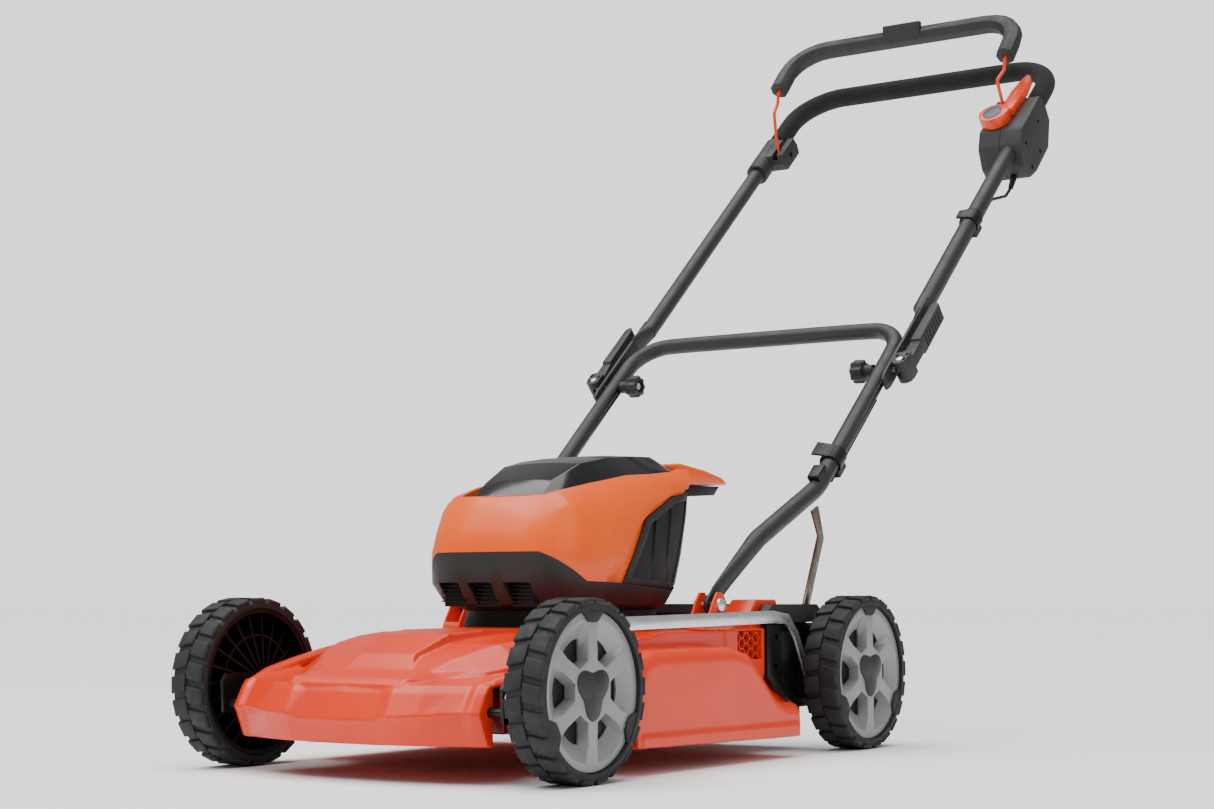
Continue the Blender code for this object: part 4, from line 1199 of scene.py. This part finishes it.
    def build_lid(self) -> None:
        """The hinged lid."""
        lid = Blank("lid", self.lid_form())
        seam = self.lid_seam
        lid.cut(slab([(0.240, seam(0.240) - 0.01), (0.430, seam(0.430) - 0.01),
                      (0.430, seam(0.430) + 0.012),
                      (0.300, seam(0.300) + 0.030), (0.240, seam(0.240) + 0.022)], Axis.X, -0.057, 0.057))
        lid.bevel(0.0032, 4, 14.0)
        settle("lid_moulding", lid.mesh(), LID_PC, "battery_lid", ["battery_lid"], angle=30.0)

    def lid_form(self, grow: float = 0.0, tower: float = 0.0) -> bmesh.types.BMesh:
        """The lid's outer form.

        Args:
            grow: metres added all round, for the opening that it lies in.
            tower: metres that the opening rises above the lid.

        Returns:
            The closed form.
        """
        stations = [(0.189, 0.060, 0.052, 0.006), (0.205, 0.066, 0.0515, 0.021),
                    (0.222, 0.072, 0.051, 0.032),
                    (0.268, 0.083, 0.058, 0.0450), (0.315, 0.089, 0.064, 0.0445),
                    (0.370, 0.0915, 0.064, 0.0375),
                    (0.418, 0.092, 0.064, 0.0285), (0.452, 0.088, 0.062, 0.0110)]
        rings = []
        for y, low_half, top_half, height in stations:
            low = self.lid_seam(y) + 0.0006
            if tower:
                way = -1 if y < 0.3 else 1
                rings.append([self.layout.at(x, y + way * grow * 3, z) for x, z in
                              ((-low_half - grow, low - grow), (low_half + grow, low - grow),
                               (low_half + grow, low + tower), (-low_half - grow, low + tower))])
                continue
            rings.append([self.layout.at(x, y, low + z) for x, z in
                          ((-low_half, 0.0), (low_half, 0.0), (low_half, height * 0.24),
                           (top_half, height * 0.93),
                           (top_half * 0.5, height * 0.985), (0, height), (-top_half * 0.5, height * 0.985),
                           (-top_half, height * 0.93), (-low_half, height * 0.24))])
        return loft(rings)

    def build(self) -> None:
        """Builds the housing and dresses what is inside it."""
        self.build_neck()
        self.build_tub()
        self.build_cover()
        self.build_grip()
        self.build_louvres()
        self.build_lid()
        dress("battery_pack", NYLON)
        dress("motor_controller", CAST_ALLOY)
        dress("motor_stator", CORE_IRON)
        for node in ("rotor_shaft", "blade_adapter", "blade", "blade_bolt"):
            dress(node, BLADE_STEEL)


@dataclass
class Wheel(Assembly):
    """One wheel: lugged tyre, silver trim with six pockets, hub cap and ribbed core.

    Attributes:
        row: front or rear.
        side: left or right.
    """

    row: str = "front"
    side: str = "left"
    lugs: int = 22
    ribs: int = 22

    @property
    def name(self) -> str:
        """The wheel's body name ending."""
        return f"{self.row}_{self.side}"

    def spot(self, x: float, radius: float, turn: float) -> Vector:
        """A point on the wheel at a distance across the mower, a radius and an angle in degrees."""
        centre = centre_of(f"tyre_{self.name}")
        angle = math.radians(turn)
        return Vector((x * SIDES[self.side], centre.y + radius * math.cos(angle),
                       centre.z + radius * math.sin(angle)))

    def wedge(self, corners: Sequence[tuple[float, float]], low: float, high: float) -> bmesh.types.BMesh:
        """A slab across the wheel from (radius, degrees) corners."""
        return loft([[self.spot(x, radius, turn) for radius, turn in corners] for x in (low, high)])

    def round_profile(self, profile: Sequence[Point2], steps: int) -> bmesh.types.BMesh:
        """A ring turned about the wheel's axle from (x, radius) corners."""
        centre = centre_of(f"tyre_{self.name}")
        return turned([(x * SIDES[self.side], radius) for x, radius in profile],
                      Vector((0.0, centre.y, centre.z)),
                      Vector((1.0, 0.0, 0.0)), steps)

    def build_tyre(self) -> None:
        """The tread band with two staggered rows of lugs."""
        band = self.round_profile([(0.2190, 0.0873), (0.2190, 0.0925), (0.2215, 0.0955), (0.2240, 0.0962),
                                   (0.2640, 0.0962), (0.2665, 0.0950), (0.2680, 0.0920), (0.2680, 0.0873)],
                                  96)
        lugs = []
        pitch = 360.0 / self.lugs
        for index in range(self.lugs):
            for inner, outer, offset in ((0.2445, 0.2680, 0.0), (0.2192, 0.2425, pitch / 2)):
                turn = index * pitch + offset
                half = pitch * 0.36
                shoulder = outer > 0.25
                rings = []
                for radius, inset, flank in ((0.0935, 0.0, 0.0), (0.0978, 0.0, 0.0),
                                             (0.0999, 0.0022, 0.45)):
                    low, high = inner + (0.0 if shoulder else inset), outer - (inset if shoulder else 0.0)
                    skew = 1.2 if shoulder else -1.2
                    rings.append([self.spot(low, radius, turn - half + flank - skew),
                                  self.spot(high, radius, turn - half + flank + skew),
                                  self.spot(high, radius, turn + half - flank + skew),
                                  self.spot(low, radius, turn + half - flank - skew)])
                lugs.append(rounded(loft(rings), 0.0008, 2, 40.0))
        tabs = []
        for turn in (90, 210, 330):
            tab = self.wedge([(0.0900, turn - 12), (0.0865, turn - 13), (0.0745, turn - 6.5),
                              (0.0732, turn),
                              (0.0745, turn + 6.5), (0.0865, turn + 13), (0.0900, turn + 12),
                              (0.0905, turn)], 0.2643, 0.2672)
            tabs.append(rounded(tab, 0.0010, 3, 40.0))
        settle(f"tread_{self.name}", joined(band, *lugs, *tabs), TREAD_TPE, f"wheel_{self.name}",
               [f"tyre_{self.name}"])

    def build_core(self) -> None:
        """The black core with its radial ribs on the inner side."""
        core = self.round_profile([(0.2200, 0.0866), (0.2519, 0.0866), (0.2519, 0.0056), (0.2125, 0.0056),
                                   (0.2125, 0.0140),
                                   (0.2440, 0.0170), (0.2440, 0.0800), (0.2200, 0.0815)], 72)
        parts = [core]
        for index in range(self.ribs):
            turn = 360.0 * index / self.ribs
            near, far = self.spot(0.0, 0.0145, turn), self.spot(0.0, 0.0812, turn)
            along = (far - near).normalized()
            side = Vector((0.0, -along.z, along.y)) * 0.0011
            sections = []
            for point, low in ((near, 0.2150), (far, 0.2290)):
                sections.append([Vector((SIDES[self.side] * x, *(point + side * way).yz)) for x, way in
                                 ((low, -1), (low, 1), (0.2446, 1), (0.2446, -1))])
            parts.append(loft(sections))
        parts.append(self.round_profile([(0.2240, 0.0538), (0.2240, 0.0560), (0.2445, 0.0562),
                                         (0.2445, 0.0536)], 72))
        settle(f"core_{self.name}", joined(*parts), CORE_PP, f"wheel_{self.name}",
               [f"wheel_core_{self.name}"])

    def build_trim(self) -> None:
        """The silver disc: six spokes between sloping pockets."""
        face = [(0.2522, 0.0866), (0.2628, 0.0866), (0.2638, 0.0855), (0.2638, 0.0795), (0.2652, 0.0560),
                (0.2655, 0.0300), (0.2655, 0.0172), (0.2522, 0.0172)]
        disc = Blank("disc", self.round_profile(face, 120))
        for turn in range(0, 360, 60):
            outer, inner = (0.0790, 0.0340)
            rim = [(outer, turn - 21.5), (outer + 0.0008, turn - 10), (outer + 0.0010, turn),
                   (outer + 0.0008, turn + 10),
                   (outer, turn + 21.5), (0.0580, turn + 22.0), (inner, turn + 15.0), (inner, turn - 15.0),
                   (0.0580, turn - 22.0)]
            floor = [(0.0580, turn - 17.0), (0.0588, turn - 8.0), (0.0590, turn), (0.0588, turn + 8.0),
                     (0.0580, turn + 17.0), (0.0480, turn + 16.0), (inner + 0.001, turn + 10.5),
                     (inner + 0.001, turn - 10.5), (0.0480, turn - 16.0)]
            pocket = loft([[self.spot(0.2720, radius, angle) for radius, angle in rim],
                           [self.spot(0.2648, radius, angle) for radius, angle in rim],
                           [self.spot(0.2545, radius, angle) for radius, angle in floor],
                           [self.spot(0.2500, radius, angle) for radius, angle in floor]])
            disc.cut(pocket)
        disc.bevel(0.0009, 3, 24.0)
        settle(f"trim_{self.name}", disc.mesh(), TRIM_PAINT, f"wheel_{self.name}",
               [f"wheel_trim_{self.name}"], angle=28.0)

    def build_cap(self) -> None:
        """The three-lobed hub cap, faceted like a shield."""
        rings = []
        for x, scale in ((0.2560, 0.97), (0.2648, 1.0), (0.2668, 0.97), (0.2676, 0.88), (0.2690, 0.62),
                         (0.2702, 0.40)):
            ring = []
            for step in range(72):
                turn = 360.0 * step / 72
                lobe = 0.0262 + 0.0062 * math.cos(math.radians(3 * (turn - 30)))
                ring.append(self.spot(x, lobe * scale, turn))
            rings.append(ring)
        cap = loft(rings)
        settle(f"cap_{self.name}", rounded(cap, 0.0005, 2, 25.0), NYLON, f"wheel_{self.name}",
               [f"hub_cap_{self.name}"],
               angle=24.0)

    def build(self) -> None:
        """Builds the four pieces of the wheel."""
        self.build_tyre()
        self.build_core()
        self.build_trim()
        self.build_cap()


@dataclass
class HeightAdjuster(Assembly):
    """Axles with their arms, the link bar and the height lever."""

    def build(self) -> None:
        """Gives the strips rounded edges and drawn steel."""
        for node in ("front_axle", "rear_axle"):
            dress(node, PLATE_PAINT)
        for node, finish, name, body in (("link_bar", ZINC_STRIP, "link_strip", "link_bar"),
                                         ("height_lever", DARK_STRIP, "lever_strip", "rear_axle")):
            settle(name, rounded(solid_of(node), 0.0006, 2, 60.0), finish, body, [node])


@dataclass
class Handle(Assembly):
    """Both halves of the tube handle with foam, clips and cable."""

    tube: float = 0.0125
    sides: int = 36

    def smooth_tube(self, node: str, name: str, body: str) -> None:
        """A finer copy of a tube node, by subdividing its skin."""
        blank = Blank(name, solid_of(node))
        blank.apply("SUBSURF", subdivision_type="CATMULL_CLARK", levels=2)
        settle(name, blank.mesh(), TUBE_COAT, body, [node], angle=60.0)

    def build(self) -> None:
        """Builds tubes, foam and clips."""
        layout = self.layout
        corners = [layout.on_handle(layout.tube_x, 0.156), layout.on_handle(layout.tube_x, 0.842),
                   layout.on_handle(-layout.tube_x, 0.842), layout.on_handle(-layout.tube_x, 0.156)]
        upper = pipe(rounded_path(corners, 0.075, 16), self.tube, self.sides)
        saddles = []
        for sign in SIDES.values():
            outline = [(-0.019, -0.0095), (-0.019, 0.0095), (-0.008, 0.0127), (0.172, 0.0118),
                       (0.172, -0.0118),
                       (-0.008, -0.0127)]
            saddle = Blank("saddle", handle_slab(outline, Axis.X, sign * 0.2374, sign * 0.2418))
            saddle.cut(drill(layout.on_handle(0.0, layout.fold_s), 0.0045, 0.3))
            saddle.bevel(0.0012, 3)
            saddles.append(saddle.mesh())
            neck = [[layout.on_handle(sign * (0.2335 + wide * math.cos(a)), s, tall * math.sin(a)) for a in
                     [math.tau * k / 24 for k in range(24)]] for s, wide, tall in
                    ((0.120, 0.0012, 0.0145), (0.136, 0.0050, 0.0143), (0.152, 0.0105, 0.0130),
                     (0.160, 0.0124, 0.0124))]
            shift = [0.0061, 0.0040, 0.0010, 0.0]
            for ring, move in zip(neck, shift):
                for point in ring:
                    point.x += sign * move
            saddles.append(loft(neck))
        settle("upper_tube", joined(upper, *saddles), TUBE_COAT, "upper_handle", ["upper_handle"],
               angle=45.0)
        corners[0] = layout.on_handle(layout.tube_x, 0.7035)
        corners[3] = layout.on_handle(-layout.tube_x, 0.7035)
        foam = pipe(rounded_path(corners, 0.075, 18), 0.0160, self.sides)
        settle("grip_sleeve", rounded(foam, 0.0020, 3, 60.0), GRIP_FOAM, "upper_handle", ["grip_foam"],
               angle=60.0)
        self.smooth_tube("lower_handle", "lower_tubes", "lower_handle")
        for node in ("cable_upper", "cable_lower"):
            dress(node, CABLE_PVC)
        for name in ("upper", "lower"):
            raw = rounded(solid_of(f"cable_clip_{name}"), 0.0008, 2, 35.0)
            settle(f"clip_{name}", joined(raw, *self.clip_tabs(name)), CORE_PP, f"{name}_handle",
                   [f"cable_clip_{name}"])

    def clip_tabs(self, name: str) -> list[bmesh.types.BMesh]:
        """The finger tabs of one cable clip."""
        if name == "upper":
            outline = [(0.2325, 0.375), (0.2325, 0.397), (0.2160, 0.395), (0.2160, 0.377)]
            return [rounded(handle_slab(outline, Axis.Z, 0.0105, 0.0150), 0.0012, 2)]
        flag = [(0.2290, -0.192), (0.2290, -0.168), (0.1980, -0.160), (0.1980, -0.186)]
        foot = [(0.2150, -0.240), (0.2150, -0.214), (0.2330, -0.214), (0.2330, -0.240)]
        return [rounded(handle_slab(flag, Axis.Z, 0.0120, 0.0150), 0.0010, 2),
                rounded(handle_slab(foot, Axis.Z, 0.0100, 0.0190), 0.0020, 2)]


@dataclass
class Clamp(Assembly):
    """One folding clamp: star knob inside and cam lever outside."""

    side: str = "left"

    def build(self) -> None:
        """Builds the knob with its bolt and the lever."""
        sign = SIDES[self.side]
        centre = self.layout.on_handle(0.0, self.layout.fold_s)
        rings = []
        for x, scale in ((0.1790, 0.80), (0.1800, 0.93), (0.1825, 1.0), (0.1945, 1.0), (0.1968, 0.95),
                         (0.1976, 0.85)):
            ring = []
            for step in range(96):
                turn = math.tau * step / 96
                radius = (0.0153 + 0.0014 * math.cos(8 * turn)) * scale
                ring.append(centre + Vector((sign * x, radius * math.cos(turn), radius * math.sin(turn))))
            rings.append(ring)
        knob = Blank("knob", loft(rings))
        knob.cut(side_bar(centre, sign * 0.170, sign * 0.1835, 0.0088, 48))
        neck = side_bar(centre, sign * 0.1970, sign * 0.2112, 0.0090, 36)
        bolt = side_bar(centre, sign * 0.1815, sign * 0.1850, 0.0052, 6)
        shaft = side_bar(centre, sign * 0.2050, sign * 0.2440, 0.0040)
        settle(f"knob_{self.side}", joined(knob.mesh(), neck), NYLON, f"star_knob_{self.side}",
               [f"star_knob_{self.side}"])
        settle(f"knob_bolt_{self.side}", joined(bolt, shaft), ZINC_STRIP, f"star_knob_{self.side}",
               [f"star_knob_{self.side}"])
        self.build_lever(sign)

    def build_lever(self, sign: int) -> None:
        """The forked cam and its ribbed paddle."""
        s = self.layout.fold_s
        head = [(0.2452, s - 0.0040), (0.2478, s - 0.0082), (0.2530, s - 0.0108), (0.2590, s - 0.0106),
                (0.2650, s - 0.0070), (0.2675, s + 0.002), (0.2675, s + 0.016), (0.2600, s + 0.018),
                (0.2452, s + 0.014)]
        paddle = [(0.2480, s + 0.010), (0.2675, s + 0.010), (0.2678, 0.060), (0.2672, 0.150),
                  (0.2600, 0.1565),
                  (0.2545, 0.150), (0.2530, 0.060)]
        lever = Blank("lever", handle_slab(sided(head, sign), Axis.Z, -0.0175, 0.0175))
        slot = [(0.2400, -0.01), (0.2560, -0.01), (0.2560, 0.024), (0.2400, 0.024)]
        lever.cut(handle_slab(sided(slot, sign), Axis.Z, -0.0075, 0.0075))
        arm = Blank("arm", handle_slab(sided(paddle, sign), Axis.Z, -0.013, 0.013))
        waist = [(0.2300, 0.028), (0.2300, 0.066), (0.2800, 0.066), (0.2800, 0.028)]
        for low, high in ((-0.020, -0.0095), (0.0095, 0.020)):
            arm.cut(rounded(handle_slab(sided(waist, sign), Axis.Z, low, high), 0.003, 3))
        arm.bevel(0.0022, 3)
        for k in range(7):
            low, high = 0.080 + k * 0.009, 0.0825 + k * 0.009
            groove = [(0.2660, low), (0.2700, low), (0.2700, high), (0.2660, high)]
            arm.cut(handle_slab(sided(groove, sign), Axis.Z, -0.0095, 0.0095))
        for way in (-1, 1):
            for x, v in ((0.2498, s + 0.0075), (0.2640, s + 0.010), (0.2630, s - 0.001)):
                cell = [(x + 0.0022 * math.cos(math.radians(60 * k)),
                         v + 0.0032 * math.sin(math.radians(60 * k))) for k in range(6)]
                lever.cut(handle_slab(sided(cell, sign), Axis.Z, way * 0.0150, way * 0.0200))
        lever.bevel(0.0009, 2, 40.0)
        pin = rod(self.layout.on_handle(sign * 0.256, s, -0.0183),
                  self.layout.on_handle(sign * 0.256, s, 0.0183), 0.0044, 28)
        settle(f"cam_lever_{self.side}", joined(lever.mesh(), arm.mesh()), NYLON,
               f"clamp_lever_{self.side}",
               [f"clamp_lever_{self.side}"])
        settle(f"cam_pin_{self.side}", rounded(pin, 0.0006, 2), ZINC_STRIP, f"clamp_lever_{self.side}",
               [f"clamp_lever_{self.side}"])


@dataclass
class Controls(Assembly):
    """Control box, start lever, bail bracket, wire and cover."""

    def tube_bore(self, sign: int) -> bmesh.types.BMesh:
        """The room that one upper tube takes through a part."""
        x = sign * self.layout.tube_x
        return pipe([self.layout.on_handle(x, 0.50), self.layout.on_handle(x, 0.75)], 0.0130, 36)

    def build_box(self) -> None:
        """The switch box with its screw wells."""
        side_view = [(0.598, -0.052), (0.570, -0.046), (0.564, -0.020), (0.575, 0.012), (0.600, 0.030),
                     (0.694, 0.030),
                     (0.702, 0.006), (0.700, -0.020), (0.664, -0.050)]
        layout = self.layout
        box_blank = Blank("box", handle_slab(side_view, Axis.X, 0.1850, 0.2600))
        box_blank.bevel(0.0045, 4)
        box_blank.cut(self.tube_bore(SIDES["left"]))
        box_blank.cut(handle_slab([(0.640, -0.008), (0.696, -0.008), (0.696, 0.060), (0.640, 0.060)],
                                  Axis.X, 0.2022, 0.2118))
        for s, n in ((0.656, 0.005), (0.591, 0.005), (0.629, -0.034), (0.585, -0.035)):
            box_blank.cut(pipe([layout.on_handle(0.2500, s, n), layout.on_handle(0.2650, s, n)], 0.0036,
                               24))
        groove = [(0.2216, 0.5), (0.2224, 0.5), (0.2224, 0.75), (0.2216, 0.75)]
        cutter = Blank("groove", handle_slab(groove, Axis.Z, -0.08, 0.06))
        inside = [(s * 0.985 + 0.0095, n * 0.955) for s, n in side_view]
        cutter.cut(handle_slab(inside, Axis.X, 0.21, 0.23))
        box_blank.cut(cutter.mesh())
        path = [layout.on_handle(0.2330, 0.580, -0.036), layout.on_handle(0.2330, 0.545, -0.0450)]
        relief = pipe([path[0].lerp(path[1], k / 12) for k in range(13)], 0.0064, 24,
                      width_at=lambda share: 1.0 - 0.35 * share - (0.10 if round(share * 12) % 2 else 0.0))
        settle("switch_box", box_blank.mesh(), NYLON, "upper_handle", ["control_box"])
        settle("strain_relief", relief, CORE_PP, "upper_handle", ["control_box"])

    def build_bracket(self) -> None:
        """The bracket that carries the right end of the wire."""
        layout = self.layout
        bracket = Blank("bracket", pipe([layout.on_handle(-layout.tube_x, 0.608),
                                         layout.on_handle(-layout.tube_x, 0.694)],
                                        0.0185, 48))
        boss = [(0.638, -0.014), (0.690, -0.014), (0.694, 0.0), (0.690, 0.016), (0.638, 0.016),
                (0.634, 0.0)]
        bracket.add(handle_slab(boss, Axis.X, -0.2330, -0.1912))
        bracket.cut(self.tube_bore(SIDES["right"]))
        bracket.cut(handle_slab([(0.636, -0.008), (0.730, -0.008), (0.730, 0.060), (0.636, 0.060)], Axis.X,
                                -0.2118, -0.2022))
        bracket.bevel(0.0016, 3)
        bracket.cut(pipe([layout.on_handle(-0.1880, 0.664, 0.0), layout.on_handle(-0.1960, 0.664, 0.0)],
                         0.0050, 28))
        settle("bail_bracket", bracket.mesh(), NYLON, "upper_handle", ["bail_bracket_right"])

    def build_bail(self) -> None:
        """The bent wire and its moulded cover."""
        for node, finish, name in (("bail_wire", WIRE_COAT, "bail_rod"),
                                   ("bail_cover", NYLON, "bail_sleeve")):
            blank = Blank(name, solid_of(node))
            if node == "bail_wire":
                blank.apply("SUBSURF", subdivision_type="CATMULL_CLARK", levels=2)
            else:
                blank.bevel(0.0012, 3, 40.0)
            settle(name, blank.mesh(), finish, "bail", [node], angle=40.0)

    def build_start(self) -> None:
        """The start lever: a round pad with an inlay, and an arm to a beak."""
        blank = Blank("start", solid_of("start_lever"))
        blank.bevel(0.0022, 3, 40.0)
        settle("start_pad", blank.mesh(), LEVER_ABS, "start_lever", ["start_lever"], angle=30.0)
        layout = self.layout
        rings = []
        for n, size in ((0.0470, 1.0), (0.0486, 1.0), (0.0492, 0.93)):
            rings.append([layout.on_handle(0.2060 + 0.0150 * size * math.cos(math.tau * k / 48),
                                           0.6250 + 0.0185 * size * math.sin(math.tau * k / 48),
                                           n) for k in range(48)])
        settle("start_inlay", loft(rings), LABEL_FILM, "start_lever", ["start_lever"])

    def build(self) -> None:
        """Builds everything round the grip."""
        self.build_box()
        self.build_bracket()
        self.build_bail()
        self.build_start()


# ---------------------------------------------------------------------------------------------------
# Studio
# ---------------------------------------------------------------------------------------------------


@dataclass
class Studio:
    """Pale floor, soft lamps and the camera.

    Attributes:
        sky_lit: the world's strength as a light on the pieces.
        sky_seen: its strength where the camera sees it.
        sun_power: the strength of the wide sun that fills in from above.
        lens: the camera's focal length in millimetres.
        place: where the camera stands.
        tilt: its turn about X, Y and Z in degrees.
    """

    sky_lit: float = 0.36
    sky_seen: float = 1.62
    sun_power: float = 4.1
    lens: float = 63.77
    place: Point3 = (1.5877, -2.53775, 0.2081)
    tilt: Point3 = (94.92, 0.14, 34.5)

    def lamp(self, name: str, place: Point3, aim: Point3, size: float, power: float) -> None:
        """Adds one square area lamp.

        Args:
            name: the lamp's name.
            place: where it hangs.
            aim: what it points at.
            size: its width.
            power: its watts.
        """
        data = bpy.data.lights.new(name, "AREA")
        data.size = size
        data.energy = power
        lamp = bpy.data.objects.new(name, data)
        lamp.location = place
        lamp.rotation_euler = (Vector(aim) - Vector(place)).to_track_quat("-Z", "Y").to_euler()
        bpy.context.scene.collection.objects.link(lamp)

    def build(self) -> None:
        """Builds floor, lamps, world and camera."""
        plane = bmesh.new()
        bmesh.ops.create_grid(plane, x_segments=1, y_segments=1, size=30.0)
        data = bpy.data.meshes.new("studio_floor")
        plane.to_mesh(data)
        plane.free()
        data.materials.append(FLOOR_PAPER.material())
        floor = bpy.data.objects.new("studio_floor", data)
        bpy.context.scene.collection.objects.link(floor)
        self.lamp("key", (-1.6, -2.4, 3.0), (0.0, 0.0, 0.35), 2.2, 34.0)
        self.lamp("fill", (3.4, -1.4, 2.0), (0.0, 0.0, 0.35), 2.6, 20.0)
        sun_data = bpy.data.lights.new("sky", "SUN")
        sun_data.energy = self.sun_power
        sun_data.angle = math.radians(70)
        sun = bpy.data.objects.new("sky", sun_data)
        sun.rotation_euler = (math.radians(8), math.radians(-6), 0.0)
        bpy.context.scene.collection.objects.link(sun)
        world = bpy.data.worlds.new("studio")
        bpy.context.scene.world = world
        world.use_nodes = True
        tree = world.node_tree
        background = tree.nodes["Background"]
        background.inputs["Color"].default_value = linear("#FFFFFF")
        seen = add_node(tree, "ShaderNodeLightPath").outputs["Is Camera Ray"]
        strength = add_node(tree, "ShaderNodeMapRange",
                            {"Value": seen, "To Min": self.sky_lit, "To Max": self.sky_seen})
        tree.links.new(strength.outputs["Result"], background.inputs["Strength"])
        camera_data = bpy.data.cameras.new("camera")
        camera_data.lens = self.lens
        camera_data.sensor_width = 36.0
        camera = bpy.data.objects.new("camera", camera_data)
        camera.location = self.place
        camera.rotation_euler = [math.radians(turn) for turn in self.tilt]
        bpy.context.scene.collection.objects.link(camera)
        bpy.context.scene.camera = camera


def main() -> None:
    logging.basicConfig(level=logging.INFO, format="%(name)s: %(message)s")
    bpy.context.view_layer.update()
    parts: list[Assembly] = [Deck(), RearFrame(), MotorUnit(), HeightAdjuster(), Handle(), Controls()]
    parts += [Wheel(row=row, side=side) for row in ("front", "rear") for side in SIDES]
    parts += [Clamp(side=side) for side in SIDES]
    for part in parts:
        part.build()
    Studio().build()


if __name__ == "__main__":
    main()
